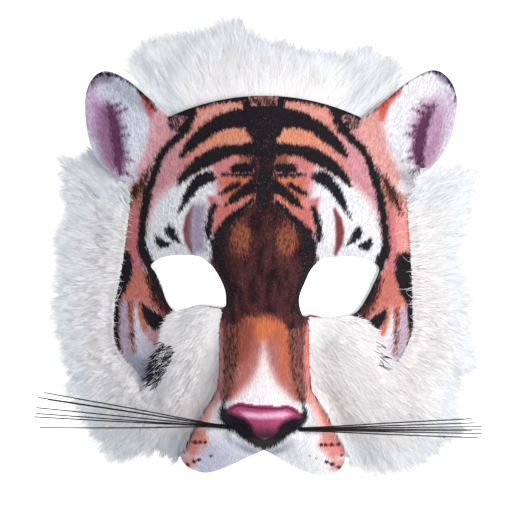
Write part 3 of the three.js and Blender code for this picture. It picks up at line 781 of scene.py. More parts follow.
def staggered(low, high, pitch):
    """Points in rows, with every other row moved by half a pitch."""
    rows = []
    for k, y in enumerate(np.arange(low[1], high[1], pitch * ROW_STEP)):
        x = np.arange(low[0] + (k % 2) * pitch / 2, high[0], pitch)
        rows.append(np.stack([x, np.full(len(x), y)], axis=1))
    return np.vstack(rows)


def triangles_between(loops, pitch):
    """Points and triangles inside the first loop and outside the others. The loops' points come first."""
    border = np.vstack(loops)
    edges = []
    start = 0
    for loop in loops:
        n = len(loop)
        edges += [(start + i, start + (i + 1) % n) for i in range(n)]
        start += n
    grid = staggered(border.min(0), border.max(0), pitch)
    x, y = grid.T
    keep = inside(loops[0], x, y)
    for hole in loops[1:]:
        keep &= ~inside(hole, x, y)
    grid = grid[keep]
    clear = distance_to_nearest(grid, border) > pitch * CLEAR_OF_BORDER
    points = np.vstack([border, grid[clear]])
    result = delaunay_2d_cdt([Vector(p) for p in points], edges, [], 1, 1e-5, True)
    source = np.arange(len(result[0])) + len(points)
    for i, ids in enumerate(result[3]):
        if ids:
            source[i] = ids[0]
    points = np.vstack([points, np.array([tuple(v) for v in result[0]])])
    faces = source[np.array(result[2])]
    centre = points[faces].mean(axis=1)
    keep = inside(loops[0], *centre.T)
    for hole in loops[1:]:
        keep &= ~inside(hole, *centre.T)
    return points, faces[keep]


def compact(points, faces, kept_first):
    """Drops the points that no triangle uses, but none of the first ones."""
    used = np.union1d(np.arange(kept_first), faces)
    index = np.zeros(len(points), int)
    index[used] = np.arange(len(used))
    return points[used], index[faces]


def tree_of(places):
    tree = KDTree(len(places))
    for i, (x, y) in enumerate(places):
        tree.insert((x, y, 0), i)
    tree.balance()
    return tree


def nearest(points, places):
    """The number of the place that lies nearest to each point."""
    tree = tree_of(places)
    return np.array([tree.find((x, y, 0))[1] for x, y in points])


def distance_to_nearest(points, places):
    tree = tree_of(places)
    return np.array([tree.find((x, y, 0))[2] for x, y in points])


def edge_shown(loop, is_hole):
    """How far the lower line of the cut edge stands out past the printed face, at each point of a loop."""
    outward = inward_of(loop) if is_hole else -inward_of(loop)
    x, y = loop.T
    if is_hole:
        below = EYE_EDGE_BELOW * ramp(0.2, 0.9, outward[:, 1])
        amount = below + EYE_EDGE_BESIDE * ramp(0.3, 0.9, -outward[:, 0]) * (x > 0)
    else:
        amount = TOP_EDGE * ramp(48, 60, y) + BOTTOM_EDGE * ramp(-84, -92, y)
    return outward * amount[:, None]


def shell_loops():
    """The shell's outline and its eye holes. Beside the fur the outline ends at the rim on the table."""
    outline = shell_outline(EDGE_SPACING)
    beside_fur = np.abs(outline[:, 1]) < RIM_LIMIT_BELOW
    outline[:, 0] = np.where(beside_fur, np.clip(outline[:, 0], -RIM_LIMIT, RIM_LIMIT), outline[:, 0])
    holes = [eye_outline(side, EDGE_SPACING) for side in SIDES]
    return [subdivided(loop, EDGE_SPACING) for loop in [outline] + holes]


def underside(points, loops):
    """The back of the moulding. Along its edges the wall is cut square to the surface."""
    x, y = points.T
    border = np.vstack(loops)
    slope_x, slope_y = slopes(face_height, x, y)
    steep = np.sqrt(1 + slope_x ** 2 + slope_y ** 2)
    near = 1 - ramp(0, WALL_EVENS_OUT_OVER, distance_to_nearest(points, border))
    shift = WALL / steep * near
    depth = WALL * (near / steep + (1 - near) * np.minimum(STEEPEST_WALL_FACTOR, steep))
    under = np.column_stack([x + slope_x * shift, y + slope_y * shift, face_height(x, y) - depth])
    under[:len(border), :2] += np.vstack([edge_shown(loop, i > 0) for i, loop in enumerate(loops)])
    under[:, 2] = np.clip(under[:, 2], 0, None)
    return under


def wall_faces(loops, offset):
    """Triangles between the border of the face and the border of the underside, whose points come later."""
    walls = []
    start = 0
    for loop in loops:
        n = len(loop)
        i = start + np.arange(n)
        j = start + (np.arange(n) + 1) % n
        walls += [np.stack([i, offset + i, j], axis=1), np.stack([j, offset + i, offset + j], axis=1)]
        start += n
    return np.vstack(walls)


def add_print(obj, x, y, plain_count):
    """Writes the print and the run of the nap on the face's vertices, and plain values on the others."""
    colour, dark = painted(x, y)
    tones = np.vstack([linear(colour), np.full((plain_count, 3), BACKING_FILLER)])
    add_values(obj, "print", np.column_stack([tones, np.ones(len(tones))]))
    for name, value in dark.items():
        value = np.clip(value, -VALUE_LIMIT_PX, VALUE_LIMIT_PX)
        add_values(obj, name, np.append(value, np.full(plain_count, VALUE_LIMIT_PX)))
    px, py = to_px(x, y)
    out, down = px - NAP_CENTRE_PX[0], NAP_CENTRE_PX[1] - py
    add_values(obj, "nap_along", np.append(np.hypot(out, down), np.zeros(plain_count)))
    add_values(obj, "nap_across", np.append(np.arctan2(out, down) * NAP_FAN_PX, np.zeros(plain_count)))


def make_shell():
    """The moulded shell: a fine printed face, a plainer underside, and the cut edge between them."""
    loops = shell_loops()
    border_count = sum(len(loop) for loop in loops)
    front, front_faces = compact(*triangles_between(loops, FRONT_PITCH), border_count)
    back, back_faces = compact(*triangles_between(loops, BACK_PITCH), border_count)
    x, y = front.T
    top = np.column_stack([front, np.maximum(face_height(x, y), LOWEST_FACE)])
    under = underside(back, loops)
    offset = len(top)
    faces = np.vstack([upward(front, front_faces), upward(back, back_faces)[:, ::-1] + offset,
                       wall_faces(loops, offset)])
    obj = mesh_object("mask_shell_looks", place(np.vstack([top, under])), faces,
                      [material_print(), material_shell_edge()])
    kind = np.ones(len(faces), np.int32)
    kind[:len(front_faces)] = 0
    obj.data.polygons.foreach_set("material_index", kind)
    add_print(obj, x, y, len(under))
    obj.data.set_sharp_from_angle(angle=math.radians(SHARP_DEGREES))
    return obj


def upward(points, faces):
    """The triangles, each turned to face up."""
    a, b, c = points[faces[:, 0]], points[faces[:, 1]], points[faces[:, 2]]
    ab, ac = b - a, c - a
    turned = ab[:, 0] * ac[:, 1] - ab[:, 1] * ac[:, 0] < 0
    out = faces.copy()
    out[turned] = out[turned][:, ::-1]
    return out


# Materials. Colours are screen values, 0 to 255.

BROWN_TONES = ((31, 16, 20), (76, 39, 41))
EAR_DARK_TONE = (92, 50, 80)
SPOT_TONE = (88, 18, 38)
INK_TONE = (24, 22, 28)
LEATHER_BORDER_TONE = (84, 24, 54)
FLECK_TONE = (176, 122, 108)
BACKING_TONE = (205, 208, 206)
INNER_HAIR_TONES = ((229, 222, 225), (255, 255, 254))
# Painted shade: the outer hairs' tones are greyer and bluer than the inner ones, for the shade that the thin
# fringe shows against the white table.
OUTER_HAIR_TONES = ((219, 225, 233), (254, 255, 255))
DYED_HAIR_TONE = (34, 28, 36)
UNDERFUR_TONE = (253, 250, 250)
BRISTLE_TONE = (10, 9, 9)

# Streaks of the nap: how many to a pixel along it and across it, and a shift that makes them unlike
STREAKS = {"patchy": (0.045, 0.1, 11.7), "coarse": (0.1, 0.28, 0), "fine": (0.22, 0.85, 7.3),
           "finest": (0.4, 1.7, 3.1)}
STREAK_DETAIL = 3.0
STREAK_ROUGHNESS = 0.6
STREAK_SPAN = (0.36, 0.64)
FINE_TONES = (0.76, 1.1)
FINEST_TONES = (0.84, 1.15)
FLECK_SHARE = 0.55
FLECKS_ON_INK = 0.3
PLUSH_ROUGHNESS = 0.85
PLUSH_RELIEF_M = 0.0006
LEATHER_ROUGHNESS = 0.55
LEATHER_COAT = 0.12
LEATHER_SOFTNESS = 0.8
LEATHER_BORDER = (-3.0, -0.6)
# How far the nap pulls the edge of each dark part about, and how soft the edge is, in pixels
NAP_PULL = {"coarse": 7.0, "fine": 12.0}
RAGGED = {"brown": (1.3, 4.0), "ink": (0.65, 2.2), "ear_dark": (0.7, 3.2), "spots": (0.3, 0.9)}


class Nodes:
    """Adds nodes to a material, or to any node tree, in short lines."""

    def __init__(self, tree):
        self.tree = tree

    def feed(self, socket, value):
        if isinstance(value, bpy.types.NodeSocket):
            self.tree.links.new(value, socket)
        else:
            socket.default_value = value

    def add(self, kind, inputs=None, **settings):
        node = self.tree.nodes.new(kind)
        for key, value in settings.items():
            setattr(node, key, value)
        for key, value in (inputs or {}).items():
            self.feed(node.inputs[key], value)
        return node

    def value(self, name):
        return self.add("ShaderNodeAttribute", attribute_name=name).outputs["Fac"]

    def colour(self, name):
        return self.add("ShaderNodeAttribute", attribute_name=name).outputs["Color"]

    def math(self, operation, *values):
        node = self.add("ShaderNodeMath", operation=operation)
        for socket, value in zip(node.inputs, values):
            self.feed(socket, value)
        return node.outputs[0]

    def fit(self, value, low, high, out_low=0.0, out_high=1.0, smooth=True):
        node = self.add("ShaderNodeMapRange", {"Value": value, "From Min": low, "From Max": high,
                                               "To Min": out_low, "To Max": out_high},
                        interpolation_type="SMOOTHSTEP" if smooth else "LINEAR")
        return node.outputs["Result"]

    def mix(self, share, a, b, blend="MIX"):
        node = self.add("ShaderNodeMix", data_type="RGBA", blend_type=blend)
        for socket, value in zip((node.inputs[0], node.inputs[6], node.inputs[7]), (share, a, b)):
            self.feed(socket, value)
        return node.outputs[2]

    def noise(self, vector, scale, detail, rough):
        node = self.add("ShaderNodeTexNoise", {"Vector": vector, "Scale": scale, "Detail": detail,
                                               "Roughness": rough})
        return node.outputs["Fac"]

    def vector(self, x, y, z):
        node = self.add("ShaderNodeCombineXYZ", {"X": x, "Y": y, "Z": z})
        return node.outputs[0]

    def darkened(self, colour, tone):
        """The colour times a grey tone."""
        return self.mix(1.0, colour, self.vector(tone, tone, tone), "MULTIPLY")


def new_material(name):
    material = bpy.data.materials.new(name)
    material.use_nodes = True
    material.node_tree.nodes.clear()
    nodes = Nodes(material.node_tree)
    output = nodes.add("ShaderNodeOutputMaterial")
    return material, nodes, output


def finish_surface(nodes, output, **inputs):
    """A Principled surface with the given values."""
    named = {key.replace("_", " "): value for key, value in inputs.items()}
    shader = nodes.add("ShaderNodeBsdfPrincipled", named)
    nodes.tree.links.new(shader.outputs[0], output.inputs["Surface"])


def streaks(nodes, name):
    """Noise drawn out along the pile: hairs seen from above."""
    along_scale, across_scale, shift = STREAKS[name]
    vector = nodes.vector(nodes.math("MULTIPLY", nodes.value("nap_along"), along_scale),
                          nodes.math("MULTIPLY", nodes.value("nap_across"), across_scale), shift)
    return nodes.noise(vector, 1.0, STREAK_DETAIL, STREAK_ROUGHNESS)


def dark_parts(nodes, coarse, fine):
    """How much of each dark part of the print shows, with edges that the nap makes ragged."""
    coarse_pull = nodes.math("MULTIPLY", nodes.math("SUBTRACT", coarse, 0.5), NAP_PULL["coarse"])
    fine_pull = nodes.math("MULTIPLY", nodes.math("SUBTRACT", fine, 0.5), NAP_PULL["fine"])
    ragged = nodes.math("ADD", coarse_pull, fine_pull)
    shares = {}
    for name, (pull, softness) in RAGGED.items():
        edge = nodes.math("ADD", nodes.value(name), nodes.math("MULTIPLY", ragged, pull))
        shares[name] = nodes.fit(edge, softness, -softness)
    return shares


def printed_colour(nodes, shares, on_leather):
    """The soft colours with the dark parts over them. The leather has no ink, and a dark border."""
    dark_brown = nodes.mix(nodes.fit(streaks(nodes, "patchy"), 0.35, 0.65), *map(rgba, BROWN_TONES))
    colour = nodes.mix(shares["brown"], nodes.colour("print"), dark_brown)
    colour = nodes.mix(shares["ear_dark"], colour, rgba(EAR_DARK_TONE))
    colour = nodes.mix(shares["spots"], colour, rgba(SPOT_TONE))
    off_leather = nodes.math("SUBTRACT", 1.0, on_leather)
    colour = nodes.mix(nodes.math("MULTIPLY", shares["ink"], off_leather), colour, rgba(INK_TONE))
    border = nodes.math("MULTIPLY", on_leather, nodes.fit(nodes.value("leather"), *LEATHER_BORDER))
    return nodes.mix(border, colour, rgba(LEATHER_BORDER_TONE))


def with_hairs(nodes, colour, shares, coarse, fine, finest):
    """Lighter and darker hairs in every colour, and light flecks where the orange ground shows through."""
    tone = nodes.math("MULTIPLY", nodes.fit(fine, *STREAK_SPAN, *FINE_TONES, smooth=False),
                      nodes.fit(finest, *STREAK_SPAN, *FINEST_TONES, smooth=False))
    colour = nodes.darkened(colour, tone)
    dark = nodes.math("MAXIMUM", shares["brown"], nodes.math("MULTIPLY", shares["ink"], FLECKS_ON_INK))
    flecks = nodes.math("MULTIPLY", nodes.fit(finest, 0.56, 0.72), dark)
    flecks = nodes.math("MULTIPLY", flecks, nodes.fit(coarse, 0.4, 0.6, 0.25, 0.9))
    return nodes.mix(nodes.math("MULTIPLY", flecks, FLECK_SHARE), colour, rgba(FLECK_TONE))


def material_print():
    """Short plush with the print on it, and smoother leather on the nose."""
    material, nodes, output = new_material("printed pile")
    coarse, fine, finest = (streaks(nodes, name) for name in ("coarse", "fine", "finest"))
    shares = dark_parts(nodes, coarse, fine)
    on_leather = nodes.fit(nodes.value("leather"), LEATHER_SOFTNESS, -LEATHER_SOFTNESS)
    colour = with_hairs(nodes, printed_colour(nodes, shares, on_leather), shares, coarse, fine, finest)
    height = nodes.math("ADD", fine, nodes.math("MULTIPLY", finest, 0.6))
    relief = nodes.add("ShaderNodeBump", {"Height": height, "Strength": 0.5,
                                             "Distance": PLUSH_RELIEF_M})
    rough = nodes.fit(on_leather, 0.0, 1.0, PLUSH_ROUGHNESS, LEATHER_ROUGHNESS, smooth=False)
    coat = nodes.math("MULTIPLY", on_leather, LEATHER_COAT)
    finish_surface(nodes, output, Base_Color=colour, Roughness=rough, Normal=relief.outputs[0],
                   Coat_Weight=coat, Coat_Roughness=0.35, Specular_IOR_Level=0.15)
    return material


def material_shell_edge():
    material, nodes, output = new_material("moulded backing")
    finish_surface(nodes, output, Base_Color=rgba(BACKING_TONE), Roughness=0.7)
    return material


# Long fur. A strand is a thin three-sided spike that lies along the flow of the pile.

GLUE_GAP = 1.1
PILE = 11
TIP_THICKNESS = 1.6
SEAM_FULLNESS = 0.35
EDGE_FULLNESS = 2.4
SEAM_CLEARANCE = 1.4
FUR_UP_THE_WALL = {-1: 0.8, 1: 0.6}
# Rounded forms like those of the shell: how far the tips lap over the print, and how much the pile stands up
LAP_OVER_PRINT = {-1: (4.5, 54, -33, 8, 17), 1: (1.0, 54, -26, 10, 12)}
BEHIND_EAR = (6, 84, 60, 13, 10)
FLAT_BY_THE_MUZZLE = 0.2
FLAT_REACH = 14
FUR_REACH = {
    -1: [(-73, 58), (-84, 67), (-94, 69), (-107, 64), (-108, 50), (-107, 36), (-112, 20), (-111, 4),
         (-113, -12), (-110, -34), (-104, -56), (-94, -78), (-78, -94), (-62, -93.5), (-48, -94)],
    1: [(77, 58), (88, 66), (98, 66), (112, 62), (115, 48), (111, 28), (107, 12), (112, -2), (113, -20),
        (114, -44), (104, -58), (105, -78), (90, -91), (74, -101), (58, -103.5), (46.5, -98)],
}
SEAM_BY_EYE_AND_PRINT = {
    -1: [(-22.6, -13.2), (-32, -12.0), (-38.5, -13), (-45.8, -15.2), (-48, -19), (-50, -28), (-53, -38),
         (-59.5, -55.5), (-65, -47.4), (-75, -36.4), (-78, -28), (-77.8, -12), (-74.6, 4), (-71.8, 24),
         (-69.5, 43), (-71, 54)],
    1: [(23, -17.4), (33.8, -18.6), (45.8, -17), (52, -21), (57, -23.6), (59.6, -30), (62.4, -38.4),
        (66.6, -44), (76.5, -28), (77.3, -10), (76, 20), (74.5, 42), (75, 54)],
}
MUZZLE_SEAM_BOTTOM = -96
MUZZLE_SEAM_TOP = -15
MUZZLE_SEAM_POINTS = 30
CREST_REACH = [(-62, 98), (-70.5, 110), (-69, 122), (-60, 128), (-44, 130), (-28, 133), (-14, 139.2),
               (-2, 127), (8, 128), (22, 123), (40, 121), (54, 125), (66, 119), (73, 109), (64, 96)]
CREST_TUCK = 8
CREST_THICKNESS = 7.5
FLOW_CENTRE = {"ruff": (0, 0), "crest": (0, 28)}
FLOOR_CLEARANCE = 0.7
STRAND_ROUNDNESS = 0.16
STRAND_TAPER = 0.75
ROOT_INSET = 14
FRINGE_DEPTH = 27
GATHER_DEPTH = 14
WISP_PITCH = 3.0
PILE_SLOPE_SHOWN = {"fringe": 0.22, "inner": 0.3, "guard": 0.3}
SLOPE_OVER = 8
STEEPEST_SHOWN = 0.4
UNDERFUR_PITCH = 2.6
UNDERFUR_RISE = 0.56
UNDERFUR_INSET = 2.0
CREST_UNDERFUR_FALL = 0.45
CREST_HIGHEST_RISE = 0.96
THINNEST_UNDERFUR = 0.3
OVER_PRINT = 0.6
UNDERFUR_EDGE = 1.0
FULL_FROM_SEAM = 10
ROOTED_BY_SEAM = 5
DRAPE_STEP = 9
SMOOTHING = 2.0
SEAM_SPACING = 3.0

# How hairs of every kind gather, stray and end
HAIR_LENGTH = {"by the seam": 9, "further out": 9, "over": (2, 25), "crest": 22, "crest varies": 6}
LENGTH_VARIES = (0.75, 1.1)
SHORTEST_HAIR = 2.5
EDGE_TURN = 0.06
STRAY_SHARE = 0.1
STRAY_MIN_EDGE = 0.2
STRAY_EXTRA_WIDTH = 0.25
STRAY_REACH = (1, 7)
STRAY_SWAY = 2.2
WISP_REACH = (-0.8, 3.4)
PAST_REACH = 1.4
SHORT_OF_REACH = 2.4
PAST_SEAM = (1.0, 0.7)
FITTING_ROUNDS = 5
GATHERED = (0.05, 0.7)
GATHER_VARIES = (0.6, 1.2)
GATHER_POWER = 1.5
WISP_LIFT = 0.05
HAIR_LIFT = 0.04
SWAY_AT_LENGTH = 12

# Tones of the strands: up to the span the inner hairs, up to twice the span the outer ones, and then the dyed
TONE_SPAN = 0.42
# Painted shade: stray hairs take a grey-blue outer tone, the shade that thin hairs show against the white
# table.
STRAY_TONE = 0.46
LOOSE_TONE = 0.4
DYED_TONE = 0.95
OUTER_HAIR_OVER = (4, 24)

# Kinds of strand: what part of the fur they fill, how high and how freely they lie, and how many there are
HAIR = {
    "fringe": {"band": (0, FRINGE_DEPTH), "segments": 2, "pitch": WISP_PITCH, "rise": (0.5, 0.9),
               "width": (0.25, 0.55), "turn": 0.05, "sway": 0.7, "lightest": 0.35,
               "ruff": 14000, "crest": 11000},
    "inner": {"band": (FRINGE_DEPTH - 5, 999), "segments": 1, "pitch": 3.4, "rise": (0.6, 0.86),
              "width": (0.35, 0.6), "turn": 0.07, "sway": 0.5, "lightest": 0.5,
              "ruff": 25000, "crest": 9000},
    "guard": {"band": (FRINGE_DEPTH - 14, 999), "segments": 2, "pitch": 3.0, "rise": (0.72, 1.0),
              "width": (0.4, 0.85), "turn": 0.13, "sway": 1.6, "lightest": 0.1,
              "ruff": 7600, "crest": 4000},
}
HAIR_LEAN = 0.1
# Where hairs are dyed dark beside the print's lower corner, and how many
DYED_HAIR = {
    -1: ([(53.5, -30.5), (49.5, -31), (45.3, -35), (48.5, -43.5), (53.6, -51), (57.4, -55.5), (60, -47),
          (58.3, -41), (57.4, -36)], 210),
    1: ([(56, -25), (60, -28), (64, -42), (60, -44), (57, -34)], 16),
}
DYED_LENGTH = (3, 8)
DYED_WIDTH = (0.4, 0.85)
DYED_TURN = 0.1
DYED_BEND = 0.25
DYED_RISE = (0.86, 0.16)
DYED_CLEARANCE = 0.3
LOOSE_HAIRS = 380
LOOSE_FROM = 45
LOOSE_WIDTH = (0.14, 0.24)
LOOSE_CLEARANCE = 0.4
LOOSE_INSET = (0, 3)
LOOSE_TURN = 0.7
LOOSE_LENGTH = (1, 1.5)
LOOSE_BEND = 1.3
LOOSE_START_RISE = 0.8
LOOSE_END = (0.5, 2.5)

# Whiskers
NOSTRIL_EXIT = {-1: (-22.6, -74, 55.5), 1: (19.5, -75.6, 56.5)}
WHISKER_TIPS = {
    -1: [(-118, -64.5, 49), (-116, -74.9, 49), (-119, -69.2, 54), (-111.8, -60.3, 54), (-113.9, -56.7, 49),
         (-117, -59.3, 44), (-118, -67.6, 44)],
    1: [(112.6, -75.6, 50), (107.6, -70.2, 50), (108.7, -72.3, 55), (107.6, -76.4, 55), (110.8, -80.1, 50),
        (112.8, -78, 45), (112.8, -74.4, 45)],
}
WHISKER_SAG = 4
BRISTLE_PITCH = 0.9
BRISTLE_TUCK = 5
BRISTLE_RADIUS = 0.34
BRISTLE_TIP_SHARE = 0.85
BRISTLE_STEPS = 24
BRISTLE_SIDES = 6


def back_height(x, y):
    slope_x, slope_y = slopes(face_height, x, y)
    steep = np.sqrt(1 + slope_x ** 2 + slope_y ** 2)
    return face_height(x, y) - WALL * np.minimum(STEEPEST_WALL_FACTOR, steep)


def over_shell(x, y):
    """Clear of the shell, also of a steep wall close by."""
    best = np.maximum(fur_bed(x, y), 0)
    for step_x, step_y in ((1, 0), (-1, 0), (0, 1), (0, -1)):
        best = np.maximum(best, fur_bed(x + step_x * SEAM_CLEARANCE, y + step_y * SEAM_CLEARANCE))
    return best + GLUE_GAP


def pile_bed(x, y):
    """What the pile lies on: the shell, and past its rim the skin that bridges down to the table."""
    bridge = sum(head_height(x + k * DRAPE_STEP, y) for k in (-2, -1, 0, 1, 2)) / 5
    return np.maximum(over_shell(x, y), GLUE_GAP + bridge)


def behind_ear(x, y):
    """The pile stands up where it fills the space behind an ear."""
    return form(BEHIND_EAR, np.abs(x), y)


def just_over_print(x, y):
    """Just above the shell, whose ears stand clear of it."""
    return np.maximum(fur_bed(x, y), 0) + OVER_PRINT


def lap_over_print(side, x, y):
    """How much further the tips reach over the print beside its lower corner."""
    return form(LAP_OVER_PRINT[side], np.abs(x), y)


def behind_shell(x, y):
    return back_height(x, y) - GLUE_GAP


def scattered(outline, count, line=None, band=None):
    """Random points inside an outline, and in a band of distances from the line, if one is given."""
    low, high = outline.min(0), outline.max(0)
    kept = np.empty((0, 2))
    while len(kept) < count:
        tries = RNG.uniform(low, high, (count, 2))
        tries = tries[inside(outline, *tries.T)]
        if band:
            away = distance_to_line(line, *tries.T)
            tries = tries[(away > band[0]) & (away < band[1])]
        kept = np.vstack([kept, tries])
    return kept[:count]


def turned(vectors, angle):
    c, s = np.cos(angle), np.sin(angle)
    return np.stack([vectors[:, 0] * c - vectors[:, 1] * s, vectors[:, 0] * s + vectors[:, 1] * c], axis=1)


class Strands:
    """Hairs of one mesh: their centre lines, and for each its direction across, tone, facing and width."""

    def __init__(self, lines, across, tones, facing, widths):
        self.lines = lines
        self.across = across
        self.tones = tones
        self.facing = facing
        self.widths = widths


class Fur:
    """Strands of one piece of fur: where they start, how they run and how high they lie."""

    def __init__(self, reach, seam, flow_centre, bed, pile, flat=None, lap=None, ground=None):
        self.reach = resampled(reach, SEAM_SPACING)
        self.seam = resampled(seam, SEAM_SPACING)
        self.outline = np.vstack([reach, seam])
        self.flow_centre = np.array(flow_centre, float)
        self.bed = bed
        self.pile = pile
        self.flat = flat
        self.lap = lap
        self.ground = ground
        self.region = self.root_region()

    def thickness(self, x, y):
        """The pile thins out to its edge and to its seam, and is flatter where the fur says so."""
        from_reach, from_seam = distance_to_line(self.reach, x, y), distance_to_line(self.seam, x, y)
        full = np.minimum(ramp(0, self.pile * EDGE_FULLNESS, from_reach),
                          SEAM_FULLNESS + (1 - SEAM_FULLNESS) * ramp(0, self.pile, from_seam))
        depth = TIP_THICKNESS + (self.pile - TIP_THICKNESS) * full
        return depth * self.flat(x, y) if self.flat else depth

    def top(self, x, y):
        return self.bed(x, y, self.thickness(x, y), 1.0)

    def flow(self, points):
        away = points - self.flow_centre
        return away / np.hypot(*away.T)[:, None]

    def root_region(self):
        """Where strands start: short of the outer edge where they run across it."""
        outward = -inward_of(self.outline)
        crossing = np.clip((outward * self.flow(self.outline)).sum(axis=1), 0.12, 1)
        near = 1 - ramp(0, ROOT_INSET, distance_to_line(self.reach, *self.outline.T))
        return moved_in(self.outline, ROOT_INSET * crossing * near)

    def shortened(self, size, roots, heading, past_reach, past_seam):
        """Lengths cut back until each tip ends by the outer edge, or by the seam where that is nearer."""
        for _ in range(FITTING_ROUNDS):
            tip = roots + heading * size[:, None]
            from_reach = distance_to_line(self.reach, *tip.T)
            from_seam = distance_to_line(self.seam, *tip.T)
            outside = ~inside(self.outline, *tip.T)
            over_seam = from_seam - past_seam
            if self.lap:
                over_seam = over_seam - self.lap(*tip.T)
            over = np.where(from_seam < from_reach, over_seam, from_reach - past_reach)
            over = np.where(outside, over, -from_reach - past_reach)
            size = np.maximum(size - np.maximum(over, 0), SHORTEST_HAIR)
        return size

    def laid(self, hair, roots, heading, across, size, shift, lift):
        """Centre lines that lie in the pile. By the seam they are rooted on the ground below it."""
        low, high = hair["rise"]
        rings = []
        for s in np.linspace(0, 1, hair["segments"] + 1):
            at = roots + heading * (size * s)[:, None] + across * shift(s)[:, None]
            z = self.bed(*at.T, self.thickness(*at.T), low + (high - low) * s + lift * s)
            rings.append(np.column_stack([at, np.maximum(z, FLOOR_CLEARANCE)]))
        if self.ground:
            low_by_seam = 1 - ramp(0, ROOTED_BY_SEAM, distance_to_line(self.seam, *roots.T))
            rings[0][:, 2] += (self.ground(*roots.T) - rings[0][:, 2]) * low_by_seam
        return np.stack(rings, axis=1)

    def facing(self, roots, share):
        """The directions that strands are shaded for: up, with a share of the pile's own slope."""
        slope = np.column_stack(slopes(self.top, *roots.T, SLOPE_OVER)) * share
        slope *= np.minimum(1, STEEPEST_SHOWN / np.maximum(np.hypot(*slope.T), 1e-6))[:, None]
        facing = np.column_stack([-slope, np.ones(len(roots))])
        return facing / np.linalg.norm(facing, axis=1)[:, None]

    def grow(self, kind, count, length):
        """Strands of one kind, which lean together in small groups and gather into wisps near the edge."""
        hair = HAIR[kind]
        roots = scattered(self.region, count, self.reach, hair["band"])
        centres = scattered(self.region, int(abs(area(self.region)) / hair["pitch"] ** 2))
        wisp = nearest(roots, centres)
        from_edge = distance_to_line(self.reach, *roots.T)
        edge = 1 - ramp(FRINGE_DEPTH - GATHER_DEPTH, FRINGE_DEPTH, from_edge)
        wisp_turn = RNG.normal(0, 1, len(centres))[wisp] * (hair["turn"] + EDGE_TURN * edge)
        heading = turned(self.flow(roots), wisp_turn + RNG.normal(0, hair["turn"], count))
        across = np.stack([-heading[:, 1], heading[:, 0]], axis=1)
        stray = (RNG.random(count) < STRAY_SHARE) & (edge > STRAY_MIN_EDGE)
        size = length(roots) * RNG.uniform(*LENGTH_VARIES, count)
        wisp_reach = RNG.normal(*WISP_REACH, len(centres))[wisp]
        past_reach = PAST_REACH + wisp_reach - RNG.exponential(SHORT_OF_REACH, count)
        past_reach = past_reach + stray * RNG.uniform(*STRAY_REACH, count)
        past_seam = PAST_SEAM[0] + RNG.normal(0, PAST_SEAM[1], count)
        size = self.shortened(size, roots, heading, past_reach, past_seam)
        offset = ((roots - centres[wisp]) * across).sum(axis=1)
        gather = (GATHERED[0] + GATHERED[1] * edge) * RNG.uniform(*GATHER_VARIES, len(centres))[wisp]
        sway = RNG.normal(0, hair["sway"], count) + stray * RNG.normal(0, STRAY_SWAY, count)
        lift = WISP_LIFT * RNG.uniform(-1, 1, len(centres))[wisp] + RNG.normal(0, HAIR_LIFT, count)

        def shift(s):
            return -gather * offset * s ** GATHER_POWER + sway * s * s * size / SWAY_AT_LENGTH

        lines = self.laid(hair, roots, heading, across, size, shift, lift)
        wisp_tone = RNG.uniform(0, 1, len(centres))[wisp]
        tone = hair["lightest"] + (1 - hair["lightest"]) * (0.4 * wisp_tone + 0.6 * RNG.random(count))
        outer = 1 - ramp(*OUTER_HAIR_OVER, from_edge - size * 0.5)
        tones = np.where(stray, STRAY_TONE, TONE_SPAN * tone + TONE_SPAN * outer)
        widths = RNG.uniform(*hair["width"], count) + stray * RNG.uniform(0, STRAY_EXTRA_WIDTH, count)
        return Strands(lines, across, tones, self.facing(roots, PILE_SLOPE_SHOWN[kind]), widths)


def area(outline):
    x, y = outline.T
    return 0.5 * np.sum(x * np.roll(y, -1) - np.roll(x, -1) * y)


def strand_faces(count, segments):
    """Triangles of three-sided spikes, each closed at its root and brought to a point at its tip."""
    pattern = [(2, 1, 0)]
    for j in range(segments - 1):
        for k in range(3):
            a, b = j * 3 + k, j * 3 + (k + 1) % 3
            pattern += [(a, b, b + 3), (a, b + 3, a + 3)]
    last = (segments - 1) * 3
    pattern += [(last + k, last + (k + 1) % 3, segments * 3) for k in range(3)]
    starts = np.arange(count) * (segments * 3 + 1)
    return (np.array(pattern)[None] + starts[:, None, None]).reshape(-1, 3)


def add_strand_map(obj, tones, segments):
    """A texture map that gives every strand its share from root to tip, and its tone."""
    uv = obj.data.uv_layers.new(name="OFBake")
    per = segments * 3 + 1
    from_root = np.append(np.repeat(np.arange(segments) / segments, 3), 1.0)
    spot = np.empty((len(tones), per, 2))
    spot[:, :, 0] = from_root * 0.98 + 0.01
    spot[:, :, 1] = tones[:, None] + np.tile([0, 0.004, 0.008], per)[:per]
    corner = np.empty(len(obj.data.loops), np.int32)
    obj.data.loops.foreach_get("vertex_index", corner)
    uv.data.foreach_set("uv", spot.reshape(-1, 2)[corner].astype(np.float32).ravel())


